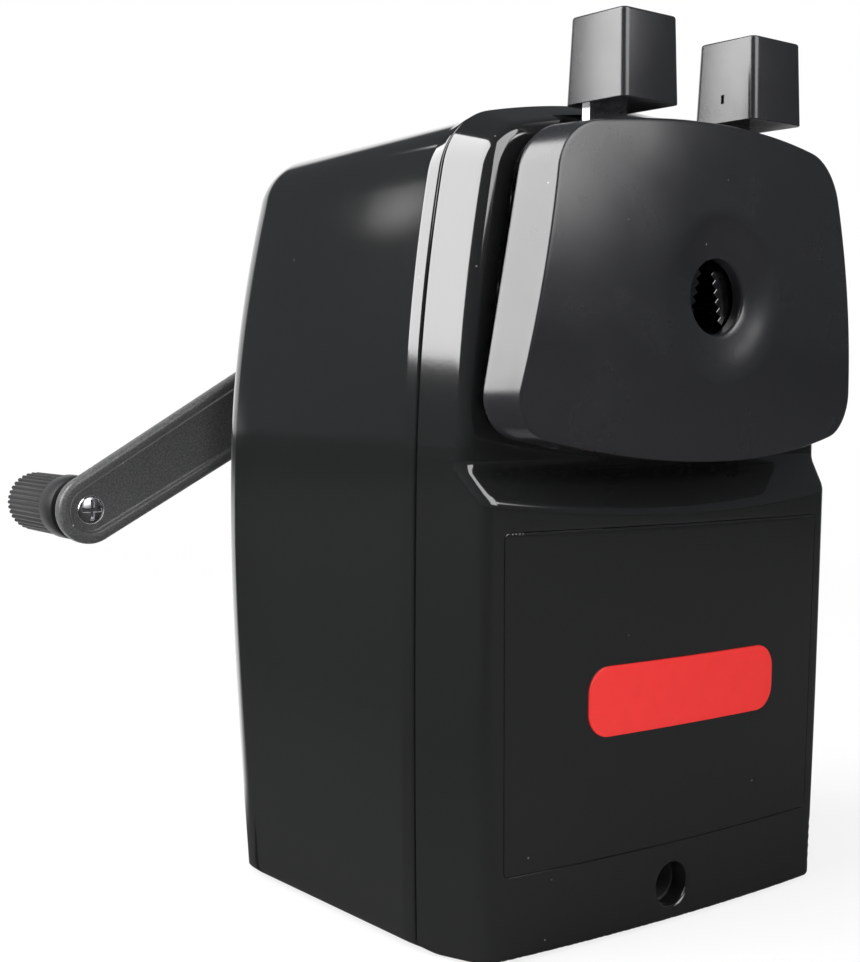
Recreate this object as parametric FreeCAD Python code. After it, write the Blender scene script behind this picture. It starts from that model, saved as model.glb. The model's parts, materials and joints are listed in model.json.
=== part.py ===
import FreeCAD, Part
import math
import os

# Crank pencil sharpener, in millimetres.
# While it is drawn, x is to the right, y runs from the front face to the back,
# and z runs up from just above the case's bottom edge. The export moves the origin
# to the middle of the case, on the underside of the rubber pad.

# Case outline, seen from the front
CASE_DEPTH = 69.0
CASE_BOTTOM = -1.0
BELLY_HALF = 43.1
BELLY_Z = 72.0
FOOT_TAPER = 2.6
SHOULDER_R = 252.0
CROWN_Z = 129.5
CROWN_R = 143.0
CORNER_R = 11.0
WALL = 2.2
FIT = 0.2
TIGHT = 0.05
OVERCUT = 1.0

# Front frame
SEAM_Y = 13.15
STRIP_ANGLE = 21.0
BOW_R = 400.0
FRONT_WALL = 3.2
EDGE_R = 1.6
LEDGE_Z = 65.6
LEDGE_RISE = 7.0
SETBACK = 5.6
POCKET_DEPTH = 2.6
UPPER_WALL = 2.4
POCKET_GAP = 0.5

# Rear housing
FLARE = 0.8
FLARE_LENGTH = 2.3
TOP_LEAD = 0.4
TOP_DROP = 1.6
TOP_RUN = 12.0
BACK_R = 10.0
BACK_BOSS_R = 9.5
BACK_BOSS_LENGTH = 3.0

# Posts and screws that hold the two shells together
UPPER_POST_X = 27.5
UPPER_POST_Z = 111.0
LOWER_POST_X = 30.0
LOWER_POST_Z = 69.5
POST_R = 3.2
SCREW_R = 1.25
SCREW_GRIP = 9.0
HEAD_R = 2.6
HEAD_HEIGHT = 1.3
DRIVE_R = 1.1
DRIVE_DEPTH = 0.7
HOLE_PLAY = 0.25

# Base
PAD_PROUD = 1.5
PAD_THICK = 2.5
PAD_HALF = 27.0
PAD_INSET = 6.0
BASE_THICK = 2.0
CLAMP_R = 3.25
CLAMP_MOUTH_R = 3.5
CLAMP_Z = 4.8
CLAMP_DEPTH = 26.0
CLAMP_BLOCK_HALF = 7.0
CLAMP_ROOF = 2.2
RUNNER_X = 25.0
RUNNER_HALF = 1.5
FRONT_SCREW_X = 31.0
FRONT_SCREW_Y = 9.0
REAR_SCREW_X = 33.0
REAR_SCREW_Y = 56.0
BASE_BOSS_HEIGHT = 6.5

# Shavings drawer
DRAWER_Z = 12.05
DRAWER_HEIGHT = 50.85
DRAWER_HALF = 34.5
DRAWER_LEAN = 1.0
DRAWER_GAP = 0.3
DRAWER_FRONT = 3.0
DRAWER_WALL = 1.8
DRAWER_LENGTH = 57.0
BIN_INSET = 1.4
BIN_DROP = 6.5
RUNNER_GAP = 0.3
LABEL_X = 2.3
LABEL_Z = 36.3
LABEL_WIDTH = 43.0
LABEL_HEIGHT = 11.0
LABEL_R = 4.0
LABEL_THICK = 0.3

# Faceplate
AXIS_Z = 98.8
FACE_HALF = 35.0
FACE_LEAN = 9.9
FACE_TOP = 125.3
FACE_TOP_R = 165.0
FACE_BOTTOM = 73.3
FACE_BOTTOM_R = 152.0
FACE_TOP_CORNER = 9.0
FACE_BOTTOM_CORNER = 6.6
FACE_BACK = 2.6
FACE_CROWN = 8.4
DOME_R = 164.0
FACE_SKIN = 3.2
FACE_WALL = 2.2
HOLE_R = 5.8
DIMPLE_R = 13.0
DIMPLE_DEPTH = 2.5
DIMPLE_BLEND = 8.0
RIM_SKIN = 1.5
FACE_BOSS_R = 3.0
FACE_SCREW_X = 24.0
FACE_SCREW_LOW = 84.0
FACE_SCREW_HIGH = 112.0

# Carriage
PLATE_Y = 0.9
PLATE_THICK = 2.0
PLATE_MARGIN = 3.0
PLATE_TRIM = 5.5
ROD_X = 27.0
ROD_R = 2.0
ROD_ROOM = 6.9
ROD_SCREW_GRIP = 6.0
RUN_PLAY = 0.06
BUSH_WALL = 1.2
BUSH_BOSS_R = 5.5
BUSH_BOSS_LENGTH = 5.6
BUSH_FLANGE = 1.2
BUSH_FLANGE_R = 4.4
CLIP_R = 4.0
CLIP_THICK = 0.8
CLIP_INSET = 2.0
CLIP_GROOVE = 0.4
SPRING_WIRE = 0.7
SPRING_R = 3.0
SPRING_TURNS = 12

# Levers and jaws
CAP_X = 14.4
CAP_Y = 0.85
CAP_Z = 127.25
CAP_HEIGHT = 13.15
CAP_TOP_HALF = 5.8
CAP_FOOT_HALF = 6.05
CAP_FOOT_DEEP = 6.35
CAP_EDGE_R = 0.65
LEVER_THICK = 1.6
LEVER_GAP = 0.8
STEM_HALF = 4.0
STEM_SOCKET = 8.0
PIVOT_X = 14.0
PIVOT_Z = 117.0
PIVOT_R = 1.5
PIVOT_HEAD_R = 2.7
PIVOT_HEAD = 0.9
LEVER_EYE_R = 5.0
OPEN_ANGLE = 14.0
LEVER_NOTCH = 7.6
JAW_GAP = 3.8
JAW_LEAN = 14.0
JAW_WIDTH = 5.4
JAW_HEIGHT = 8.6
JAW_LEAD = 0.4
JAW_ROOM = 2.6
JAW_TEETH = 6
JAW_TOOTH = 0.9
JAW_SPRING_Z = 121.0
JAW_SPRING_R = 1.1
JAW_SPRING_WIRE = 0.5
JAW_SPRING_TURNS = 11
GAP_SAMPLES = 6

# Cutter, gears and carrier
CUTTER_TILT = 10.5
TIP_ROOM = 6.5
CUTTER_R = 5.5
CUTTER_LENGTH = 24.5
CUTTER_OVERRUN = 0.6
CUTTER_FLUTES = 8
LAND_SHARE = 0.25
FLUTE_SHARE = 0.4
FLUTE_DEPTH = 0.9
CUTTER_TWIST = 110.0
CUTTER_STATIONS = 6
AXLE_R = 1.5
AXLE_HEAD_R = 2.6
AXLE_HEAD = 1.0
PINION_TEETH = 12
RING_TEETH = 44
PINION_FACE = 3.0
SLEEVE_R = 2.8
SLEEVE_LENGTH = 4.0
TOOTH_TIP = 0.7
TOOTH_ROOT = 1.05
TOOTH_FLANK = 20.0
BACKLASH = 0.32
RUN_GAP = 0.5
RING_OUTER_R = 19.5
RING_WEB = 2.5
GEAR_SEAT_WALL = 3.0
GEAR_LUG_R = 3.4
GEAR_LUG_PCD_R = 22.7
GEAR_LUGS = 3
BEARING_WALL = 1.4
HUB_R = 9.0
HUB_BORE = 6.2
HUB_LEAD = 1.4
CAGE_R = 13.0
CAGE_ROOM = 3.1
CAGE_POINT_R = 0.8
REAR_WEB = 3.0

# Shaft, crank and knob
SHAFT_R = 4.0
SHAFT_GRIP = 2.6
REAR_BEARING_WALL = 2.0
REAR_FLANGE = 1.6
REAR_FLANGE_R = 8.0
WASHER_R = 7.5
WASHER_THICK = 0.7
END_PLAY = 0.15
SQUARE_HALF = 2.8
STUD_R = 2.2
STUD_LENGTH = 5.0
NUT_HEIGHT = 4.0
NUT_FLATS = 8.0
CRANK_GAP = 2.8
CRANK_THICK = 2.5
CRANK_LENGTH = 74.8
CRANK_DROP = 29.1
CRANK_HUB_R = 7.55
CRANK_END_R = 5.9
CRANK_RIM = 1.9
CRANK_RECESS = 0.6
CRANK_BOSS_R = 6.5
KNOB_GAP = 0.3
KNOB_NECK_R = 3.5
KNOB_NECK = 1.7
KNOB_COLLAR_R = 5.6
KNOB_COLLAR = 5.0
KNOB_R = 5.4
KNOB_TIP_R = 5.3
KNOB_LENGTH = 14.0
KNOB_RIBS = 28
KNOB_RIB = 0.4
RIB_TOP_SHARE = 0.45
RIB_FALL_SHARE = 0.6
RIB_ROOT_SHARE = 0.85
KNOB_PIN_R = 1.6
KNOB_HEAD_R = 2.15
KNOB_HEAD = 1.1
CROSS_HALF = 0.43
CROSS_REACH = 1.5
CROSS_DEPTH = 0.55
PEEN_R = 2.8
PEEN = 0.8

V = FreeCAD.Vector
BACK = V(0, 1, 0)
FAR = 300.0

# Places that follow from the sizes above
FOOT_HALF = BELLY_HALF - FOOT_TAPER
LOWER_R = (BELLY_Z ** 2 + FOOT_TAPER ** 2) / (2 * FOOT_TAPER)
STRIP_SLOPE = math.tan(math.radians(STRIP_ANGLE))
POCKET_Y = SETBACK + POCKET_DEPTH
UPPER_BACK = POCKET_Y + UPPER_WALL
INNER_BACK = CASE_DEPTH - WALL
PLATE_BACK = PLATE_Y + PLATE_THICK
LEVER_Y = PLATE_BACK + LEVER_GAP
LEVER_BACK = LEVER_Y + LEVER_THICK
BUSH_BACK = UPPER_BACK + BUSH_BOSS_LENGTH
ROD_END = INNER_BACK - ROD_ROOM
CLIP_Y = ROD_END - CLIP_INSET - CLIP_THICK
BASE_Z = PAD_THICK - PAD_PROUD
BASE_TOP = BASE_Z + BASE_THICK
BASE_SCREW_SEAT = FIT + HEAD_HEIGHT
RIM_BACK = DIMPLE_DEPTH - FACE_CROWN + RIM_SKIN
JAW_FRONT = RIM_BACK + JAW_LEAD
JAW_FOOT = AXIS_Z - JAW_HEIGHT / 2
JAW_SLOPE = math.tan(math.radians(JAW_LEAN))
JAW_SWING = (PIVOT_Z - JAW_FOOT) * math.tan(math.radians(OPEN_ANGLE))
JAW_ROOM_HALF = JAW_GAP / 2 + JAW_WIDTH + JAW_SWING + JAW_LEAD
JAW_ROOM_RISE = JAW_HEIGHT / 2 + JAW_ROOM

# Gear cones that share one apex on the main axis
REAR_FLANGE_Y = INNER_BACK - 2 * REAR_FLANGE
CAGE_REAR = REAR_FLANGE_Y - CAGE_ROOM
TIP_Y = CAGE_REAR - TIP_ROOM
TILT = math.radians(CUTTER_TILT)
APEX_Y = TIP_Y + CUTTER_R / math.sin(TILT)
PINION_SLOPE = math.sin(TILT) / (RING_TEETH / PINION_TEETH - math.cos(TILT))
RING_SLOPE = math.tan(TILT + math.atan(PINION_SLOPE))
CUTTER_START = (APEX_Y - TIP_Y) / math.cos(TILT) - CUTTER_OVERRUN
CUTTER_END = CUTTER_START + CUTTER_LENGTH
PINION_START = CUTTER_END + SLEEVE_LENGTH
PINION_END = PINION_START + PINION_FACE
AXLE_FRONT = PINION_END + FIT + AXLE_HEAD
PINION_BACK_Y = APEX_Y - PINION_START * math.cos(TILT)
AXLE_TOP_Y = APEX_Y - AXLE_FRONT * math.cos(TILT) - AXLE_HEAD_R * math.sin(TILT)
RING_WEB_BACK = AXLE_TOP_Y - RUN_GAP
RING_FRONT = RING_WEB_BACK - RING_WEB
RING_BACK = PINION_BACK_Y + RUN_GAP
CAGE_FRONT = RING_BACK + RUN_GAP
HUB_FRONT = RING_FRONT - HUB_LEAD
BEARING_R = HUB_R + RUN_PLAY + BEARING_WALL
SHAFT_START = CAGE_REAR - SHAFT_GRIP
BOSS_BACK = CASE_DEPTH + BACK_BOSS_LENGTH
WASHER_Y = BOSS_BACK + END_PLAY
SHOULDER_Y = WASHER_Y + WASHER_THICK
CRANK_Y = BOSS_BACK + CRANK_GAP
CRANK_BACK = CRANK_Y + CRANK_THICK
CRANK_TURN = math.radians(CRANK_DROP)
KNOB_X = -CRANK_LENGTH * math.cos(CRANK_TURN)
KNOB_Z = AXIS_Z - CRANK_LENGTH * math.sin(CRANK_TURN)
KNOB_FRONT = CRANK_BACK + KNOB_GAP
COLLAR_FRONT = KNOB_FRONT + KNOB_NECK
GRIP_FRONT = COLLAR_FRONT + KNOB_COLLAR
KNOB_BACK = GRIP_FRONT + KNOB_LENGTH


# Small building blocks

def bar(radius, start, end, x=0.0, z=AXIS_Z):
    """Round bar that runs front to back."""
    return Part.makeCylinder(radius, end - start, V(x, start, z), BACK)


def tube(outer, inner, start, end, x=0.0, z=AXIS_Z):
    """Round tube that runs front to back."""
    return bar(outer, start, end, x, z).cut(bar(inner, start, end, x, z))


def block(x0, x1, y0, y1, z0, z1):
    """Box between two corners."""
    return Part.makeBox(x1 - x0, y1 - y0, z1 - z0, V(x0, y0, z0))


def prism(points, start, end):
    """Front-view polygon pulled front to back."""
    corners = [V(x, start, z) for x, z in points]
    wire = Part.makePolygon(corners + corners[:1])
    return Part.Face(wire).extrude(V(0, end - start, 0))


def joined(first, *others):
    """One solid from several that run into each other."""
    return first.fuse(list(others)).removeSplitter()


def mirrored(shape):
    """Copy on the other side of the middle plane."""
    return shape.mirror(V(0, 0, 0), V(1, 0, 0))


def level_edges(shape):
    """Edges that run straight front to back."""
    chosen = []
    for edge in shape.Edges:
        run = edge.valueAt(edge.LastParameter) - edge.valueAt(edge.FirstParameter)
        if abs(run.x) + abs(run.z) < 1e-6 and len(edge.Vertexes) == 2:
            chosen.append(edge)
    return chosen


def circles_meet(c0, r0, c1, r1):
    """Right-hand meeting point of two circles in the front view."""
    dx, dz = c1[0] - c0[0], c1[1] - c0[1]
    gap = math.hypot(dx, dz)
    along = (r0 ** 2 - r1 ** 2 + gap ** 2) / (2 * gap)
    aside = math.sqrt(r0 ** 2 - along ** 2)
    foot = (c0[0] + along * dx / gap, c0[1] + along * dz / gap)
    options = [(foot[0] + s * aside * dz / gap, foot[1] - s * aside * dx / gap) for s in (1, -1)]
    return max(options, key=lambda p: p[0])


def reach(centre, through, radius):
    """Point at a radius from a centre, on the way through another point."""
    dx, dz = through[0] - centre[0], through[1] - centre[1]
    size = math.hypot(dx, dz)
    return (centre[0] + radius * dx / size, centre[1] + radius * dz / size)


def arc(y, first, last, centre, radius):
    """Arc in the front view between two points about a centre."""
    middle = reach(centre, ((first[0] + last[0]) / 2, (first[1] + last[1]) / 2), radius)
    return Part.Arc(*[V(p[0], y, p[1]) for p in (first, middle, last)]).toShape()


# Case outline

def strip_inset(y):
    """How far the angled border has drawn the outline in at a depth."""
    return max(0.0, (SEAM_Y - y) * STRIP_SLOPE)


def case_outline(y, side, top, bottom=CASE_BOTTOM):
    """Front-view outline of the case, drawn in by side and top."""
    low_c, low_r = (BELLY_HALF - LOWER_R, BELLY_Z), LOWER_R - side
    high_c, high_r = (BELLY_HALF - SHOULDER_R, BELLY_Z), SHOULDER_R - side
    crown_c, crown_r = (0.0, CROWN_Z - CROWN_R), CROWN_R - top
    corner_r = CORNER_R - (side + top) / 2
    corner_c = circles_meet(high_c, high_r - corner_r, crown_c, crown_r - corner_r)
    foot = (low_c[0] + math.sqrt(low_r ** 2 - (bottom - BELLY_Z) ** 2), bottom)
    belly = (BELLY_HALF - side, BELLY_Z)
    shoulder = reach(high_c, corner_c, high_r)
    crown = reach(crown_c, corner_c, crown_r)
    right = [(foot, belly, low_c, low_r), (belly, shoulder, high_c, high_r)]
    right.append((shoulder, crown, corner_c, corner_r))

    def flip(p):
        return (-p[0], p[1])

    edges = [arc(y, *piece) for piece in right]
    edges.append(arc(y, crown, flip(crown), crown_c, crown_r))
    for first, last, centre, radius in reversed(right):
        edges.append(arc(y, flip(last), flip(first), flip(centre), radius))
    edges.append(Part.makeLine(V(-foot[0], y, bottom), V(foot[0], y, bottom)))
    return Part.Wire(edges)


def case_loft(stations, bottom=CASE_BOTTOM):
    """Solid through outlines given as (depth, side inset, top inset)."""
    wires = [case_outline(y, side, top, bottom) for y, side, top in stations]
    return Part.makeLoft(wires, True, True)


def screw_places():
    """Front-view places of the four long screws."""
    upper = [(side * UPPER_POST_X, UPPER_POST_Z) for side in (-1, 1)]
    lower = [(side * LOWER_POST_X, LOWER_POST_Z) for side in (-1, 1)]
    return upper + lower


def base_screw_places():
    """Plan places of the four base screws, front pair first."""
    front = [(side * FRONT_SCREW_X, FRONT_SCREW_Y) for side in (-1, 1)]
    rear = [(side * REAR_SCREW_X, REAR_SCREW_Y) for side in (-1, 1)]
    return front + rear


def gear_lug_places():
    """Front-view places of the ring gear's screws, first one at the top."""
    places = []
    for k in range(GEAR_LUGS):
        turn = math.pi / 2 + 2 * math.pi * k / GEAR_LUGS
        places.append((GEAR_LUG_PCD_R * math.cos(turn), AXIS_Z + GEAR_LUG_PCD_R * math.sin(turn)))
    return places


def screw(head_end, grip, x, z, way=BACK):
    """Pan-head screw; its head stands on head_end and its shank runs the given way."""
    seat = V(x, head_end, z)
    shank = Part.makeCylinder(SCREW_R, grip, seat, way)
    head = Part.makeCylinder(HEAD_R, HEAD_HEIGHT, seat - way * HEAD_HEIGHT, way)
    drive = Part.makeCylinder(DRIVE_R, DRIVE_DEPTH, seat - way * HEAD_HEIGHT, way)
    return joined(head, shank).cut(drive)


# Shells

def base_boss(x, y, wall_x):
    """Screw boss above the base plate, with a web out to the side wall."""
    low = BASE_TOP + FIT
    top = low + BASE_BOSS_HEIGHT
    post = Part.makeCylinder(POST_R, BASE_BOSS_HEIGHT, V(x, y, low))
    web = block(min(x, wall_x), max(x, wall_x), y - SCREW_R, y + SCREW_R, low, top)
    hole = Part.makeCylinder(SCREW_R + TIGHT, BASE_BOSS_HEIGHT, V(x, y, low - FIT))
    return post.fuse(web), hole


def rear_housing():
    flare_y = SEAM_Y + FLARE_LENGTH
    drop_y = flare_y + TOP_RUN
    stations = [(SEAM_Y, 0, 0), (flare_y, -FLARE, TOP_LEAD), (drop_y, -FLARE, TOP_DROP)]
    lead = case_loft(stations[:2]).fuse(case_loft(stations[1:]))
    body = case_loft([stations[2], (CASE_DEPTH, -FLARE, TOP_DROP)])
    rim = [e for e in body.Edges if e.BoundBox.YMin > CASE_DEPTH - 1e-6 and e.BoundBox.ZMax > 0]
    body = body.makeFillet(BACK_R, rim)
    outer = lead.fuse(body)
    hollow = case_loft([(SEAM_Y, WALL, WALL + TOP_DROP), (INNER_BACK, WALL, WALL + TOP_DROP)], -WALL)
    rim = [e for e in hollow.Edges if e.BoundBox.YMin > INNER_BACK - 1e-6 and e.BoundBox.ZMax > 0]
    hollow = hollow.makeFillet(BACK_R - WALL, rim)
    shell = outer.cut(hollow)
    boss_start = INNER_BACK - REAR_FLANGE
    shell = shell.fuse(bar(BACK_BOSS_R, boss_start, BOSS_BACK))
    bore = bar(SHAFT_R + RUN_PLAY + REAR_BEARING_WALL, boss_start - OVERCUT, BOSS_BACK + OVERCUT)
    cuts = [bore]
    for x, z in screw_places():
        cuts.append(bar(SCREW_R + HOLE_PLAY, INNER_BACK - OVERCUT, CASE_DEPTH + OVERCUT, x, z))
        cuts.append(bar(HEAD_R + HOLE_PLAY, CASE_DEPTH - HEAD_HEIGHT, CASE_DEPTH + OVERCUT, x, z))
    for x, y in base_screw_places()[2:]:
        boss, hole = base_boss(x, y, math.copysign(FOOT_HALF - WALL / 2, x))
        shell = shell.fuse(boss)
        cuts.append(hole)
    return shell.cut(cuts).removeSplitter()


def set_back(depth):
    """Space in front of the upper half, down to the sloped ledge."""
    slope = LEDGE_RISE / SETBACK
    low = LEDGE_Z - depth * slope
    side = [V(-FAR / 2, -depth, low), V(-FAR / 2, SETBACK, LEDGE_Z + LEDGE_RISE)]
    side += [V(-FAR / 2, SETBACK, FAR), V(-FAR / 2, -depth, FAR)]
    return Part.Face(Part.makePolygon(side + side[:1])).extrude(V(FAR, 0, 0))


def drawer_outline(grow):
    """Front-view corners of the drawer front, grown all round."""
    low, high = DRAWER_Z - grow, DRAWER_Z + DRAWER_HEIGHT + grow
    foot, head = DRAWER_HALF + grow, DRAWER_HALF + DRAWER_LEAN + grow
    return [(-foot, low), (foot, low), (head, high), (-head, high)]


def bowed(height_low, height_high, proud=0.0):
    """Upright drum whose front is the bowed front of the case."""
    return Part.makeCylinder(BOW_R + proud, height_high - height_low, V(0, BOW_R, height_low))


def front_frame():
    lead = EDGE_R + OVERCUT
    solid = case_loft([(SEAM_Y, 0, 0), (-lead, strip_inset(-lead), strip_inset(-lead))])
    solid = solid.common(bowed(-FAR / 2, FAR))
    front = min(solid.Faces, key=lambda f: f.CenterOfMass.y)
    rim = [e for e in front.Edges if e.BoundBox.ZMax > 0]
    solid = solid.makeFillet(EDGE_R, rim)
    inner = [(SEAM_Y + OVERCUT, WALL, WALL), (SEAM_Y, WALL, WALL)]
    inner.append((FRONT_WALL, WALL + strip_inset(FRONT_WALL), WALL + strip_inset(FRONT_WALL)))
    hollow = case_loft(inner[:2], -WALL).fuse(case_loft(inner[1:], -WALL))
    ceiling = DRAWER_Z + DRAWER_HEIGHT + DRAWER_GAP
    hollow = hollow.cut(block(-FAR, FAR, -FAR, UPPER_BACK, ceiling, FAR))
    mouth = prism(drawer_outline(DRAWER_GAP), -lead, SEAM_Y + OVERCUT)
    shell = solid.cut([hollow, set_back(lead + OVERCUT), mouth])
    pocket = face_prism(-POCKET_GAP, -lead, POCKET_Y)
    notch = block(-LEVER_NOTCH - CAP_X, LEVER_NOTCH + CAP_X, -lead, POCKET_Y, PIVOT_Z, FAR)
    shell = shell.cut([pocket, notch])
    seat = bar(RING_OUTER_R, UPPER_BACK - OVERCUT, RING_FRONT)
    guides = [bar(BUSH_BOSS_R, UPPER_BACK - OVERCUT, BUSH_BACK, side * ROD_X) for side in (-1, 1)]
    posts = [bar(POST_R, UPPER_BACK - OVERCUT, INNER_BACK - FIT, x, z) for x, z in screw_places()]
    lugs = [bar(GEAR_LUG_R, UPPER_BACK - OVERCUT, RING_FRONT, x, z) for x, z in gear_lug_places()]
    shell = shell.fuse([seat] + guides + posts + lugs)
    cuts = [bar(RING_OUTER_R - GEAR_SEAT_WALL, POCKET_Y - OVERCUT, RING_FRONT + OVERCUT)]
    for side in (-1, 1):
        bush_r = ROD_R + RUN_PLAY + BUSH_WALL
        cuts.append(bar(bush_r, POCKET_Y - OVERCUT, BUSH_BACK + OVERCUT, side * ROD_X))
    for x, z in screw_places():
        cuts.append(bar(SCREW_R + TIGHT, INNER_BACK - FIT - SCREW_GRIP, INNER_BACK, x, z))
    for x, z in gear_lug_places():
        cuts.append(bar(SCREW_R + TIGHT, RING_FRONT - SCREW_GRIP + RING_WEB, RING_FRONT + OVERCUT, x, z))
    cuts.append(bar(CLAMP_MOUTH_R, -lead, FRONT_WALL + OVERCUT, 0, CLAMP_Z))
    for x, y in base_screw_places()[:2]:
        boss, hole = base_boss(x, y, math.copysign(FOOT_HALF - strip_inset(y) - WALL / 2, x))
        shell = shell.fuse(boss)
        cuts.append(hole)
    return shell.cut(cuts).removeSplitter()


def base_half(y):
    """Half width of the base plate at a depth."""
    return FOOT_HALF - WALL - FIT - strip_inset(y)


def base_plate():
    front, rear = FRONT_WALL + FIT, INNER_BACK - FIT
    plan = [(base_half(front), front), (base_half(SEAM_Y), SEAM_Y), (base_half(SEAM_Y), rear)]
    plan += [(-x, y) for x, y in reversed(plan)]
    corners = [V(x, y, BASE_Z) for x, y in plan]
    plate = Part.Face(Part.makePolygon(corners + corners[:1])).extrude(V(0, 0, BASE_THICK))
    uprights = [e for e in plate.Edges if e.BoundBox.ZLength > BASE_THICK / 2]
    plate = plate.makeFillet(BACK_R - WALL, [e for e in uprights if e.BoundBox.YMin > SEAM_Y + FIT])
    roof = CLAMP_Z + CLAMP_R + CLAMP_ROOF
    clamp = block(-CLAMP_BLOCK_HALF, CLAMP_BLOCK_HALF, front, front + CLAMP_DEPTH + CLAMP_ROOF, FIT, roof)
    runner_top = DRAWER_Z + DRAWER_GAP - RUNNER_GAP
    runners = []
    for side in (-1, 1):
        x = side * RUNNER_X
        runners.append(block(x - RUNNER_HALF, x + RUNNER_HALF, SEAM_Y, rear - BACK_R, BASE_Z, runner_top))
    plate = plate.fuse([clamp] + runners)
    cuts = [bar(CLAMP_R, front - OVERCUT, front + CLAMP_DEPTH, 0, CLAMP_Z)]
    for x, y in base_screw_places():
        under = V(x, y, BASE_Z - OVERCUT)
        cuts.append(Part.makeCylinder(SCREW_R + HOLE_PLAY, BASE_THICK + 2 * OVERCUT, under))
        cuts.append(Part.makeCylinder(HEAD_R + HOLE_PLAY, BASE_SCREW_SEAT - under.z, under))
    return plate.cut(cuts).removeSplitter()


def base_pad():
    front, rear = FRONT_WALL + PAD_INSET, INNER_BACK - PAD_INSET
    sheet = block(-PAD_HALF, PAD_HALF, front, rear, -PAD_PROUD, BASE_Z)
    uprights = [e for e in sheet.Edges if e.BoundBox.ZLength > PAD_THICK / 2]
    sheet = sheet.makeFillet(PAD_INSET, uprights)
    half = CLAMP_BLOCK_HALF + PAD_THICK
    rear_of_clamp = FRONT_WALL + FIT + CLAMP_DEPTH + CLAMP_ROOF + PAD_THICK
    return sheet.cut(block(-half, half, 0, rear_of_clamp, -PAD_THICK, BASE_Z + OVERCUT))


def base_screws():
    screws = []
    for x, y in base_screw_places():
        seat = V(x, y, BASE_SCREW_SEAT)
        shank = Part.makeCylinder(SCREW_R, BASE_TOP + BASE_BOSS_HEIGHT - BASE_SCREW_SEAT, seat)
        cap = Part.makeCylinder(HEAD_R, HEAD_HEIGHT, seat - V(0, 0, HEAD_HEIGHT))
        drive = Part.makeCylinder(DRIVE_R, DRIVE_DEPTH, seat - V(0, 0, HEAD_HEIGHT))
        screws.append(joined(cap, shank).cut(drive))
    return Part.makeCompound(screws)


def housing_screws():
    seat = CASE_DEPTH - HEAD_HEIGHT
    grip = seat - INNER_BACK + SCREW_GRIP - FIT * 2
    return Part.makeCompound([screw(seat, grip, x, z, -BACK) for x, z in screw_places()])


# Drawer

def shavings_drawer():
    top = DRAWER_Z + DRAWER_HEIGHT
    panel = prism(drawer_outline(0), -1, DRAWER_FRONT).common(bowed(0, FAR))
    half = DRAWER_HALF - BIN_INSET
    low, high = DRAWER_Z + DRAWER_GAP, top - BIN_DROP
    box = block(-half, half, DRAWER_FRONT - OVERCUT, DRAWER_LENGTH, low, high)
    inside = block(-half + DRAWER_WALL, half - DRAWER_WALL, DRAWER_FRONT, DRAWER_LENGTH - DRAWER_WALL,
                   low + DRAWER_WALL, top)
    return joined(panel, box).cut(inside)


def drawer_label():
    x0, x1 = LABEL_X - LABEL_WIDTH / 2, LABEL_X + LABEL_WIDTH / 2
    z0, z1 = LABEL_Z - LABEL_HEIGHT / 2, LABEL_Z + LABEL_HEIGHT / 2
    sheet = block(x0, x1, -2, DRAWER_FRONT, z0, z1)
    sheet = sheet.makeFillet(LABEL_R, level_edges(sheet))
    return sheet.common(bowed(0, FAR, LABEL_THICK)).cut(bowed(0, FAR))


# Faceplate and carriage

def face_prism(inset, start, end):
    """Solid of the faceplate's outline, drawn in by inset."""
    lean = math.tan(math.radians(FACE_LEAN))
    half = FACE_HALF - inset / math.cos(math.radians(FACE_LEAN))
    top_c, top_r = (0.0, FACE_TOP - FACE_TOP_R), FACE_TOP_R - inset
    low_c, low_r = (0.0, FACE_BOTTOM + FACE_BOTTOM_R), FACE_BOTTOM_R - inset

    def on_side(centre, radius, way):
        rise = centre[1] - AXIS_Z
        a, b = 1 + lean ** 2, -(lean * half + rise)
        c = half ** 2 + rise ** 2 - radius ** 2
        t = (-b + way * math.sqrt(b * b - a * c)) / a
        return (half - lean * t, AXIS_Z + t)

    high = on_side(top_c, top_r, 1)
    low = on_side(low_c, low_r, -1)
    edges = [
        Part.makeLine(V(low[0], start, low[1]), V(high[0], start, high[1])),
        arc(start, high, (-high[0], high[1]), top_c, top_r),
        Part.makeLine(V(-high[0], start, high[1]), V(-low[0], start, low[1])),
        arc(start, (-low[0], low[1]), low, low_c, low_r),
    ]
    solid = Part.Face(Part.Wire(edges)).extrude(V(0, end - start, 0))
    upper = [e for e in level_edges(solid) if e.CenterOfMass.z > AXIS_Z]
    solid = solid.makeFillet(FACE_TOP_CORNER - inset, upper)
    lower = [e for e in level_edges(solid) if e.CenterOfMass.z < low[1] + 1e-3]
    return solid.makeFillet(FACE_BOTTOM_CORNER - inset, lower)


def jaw_room(start, end):
    """Space that the two jaws swing in, front to back."""
    low, high = AXIS_Z - JAW_ROOM_RISE, AXIS_Z + JAW_ROOM_RISE
    return block(-JAW_ROOM_HALF, JAW_ROOM_HALF, start, end, low, high)


def face_screw_places():
    return [(side * FACE_SCREW_X, z) for side in (-1, 1) for z in (FACE_SCREW_LOW, FACE_SCREW_HIGH)]


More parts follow.
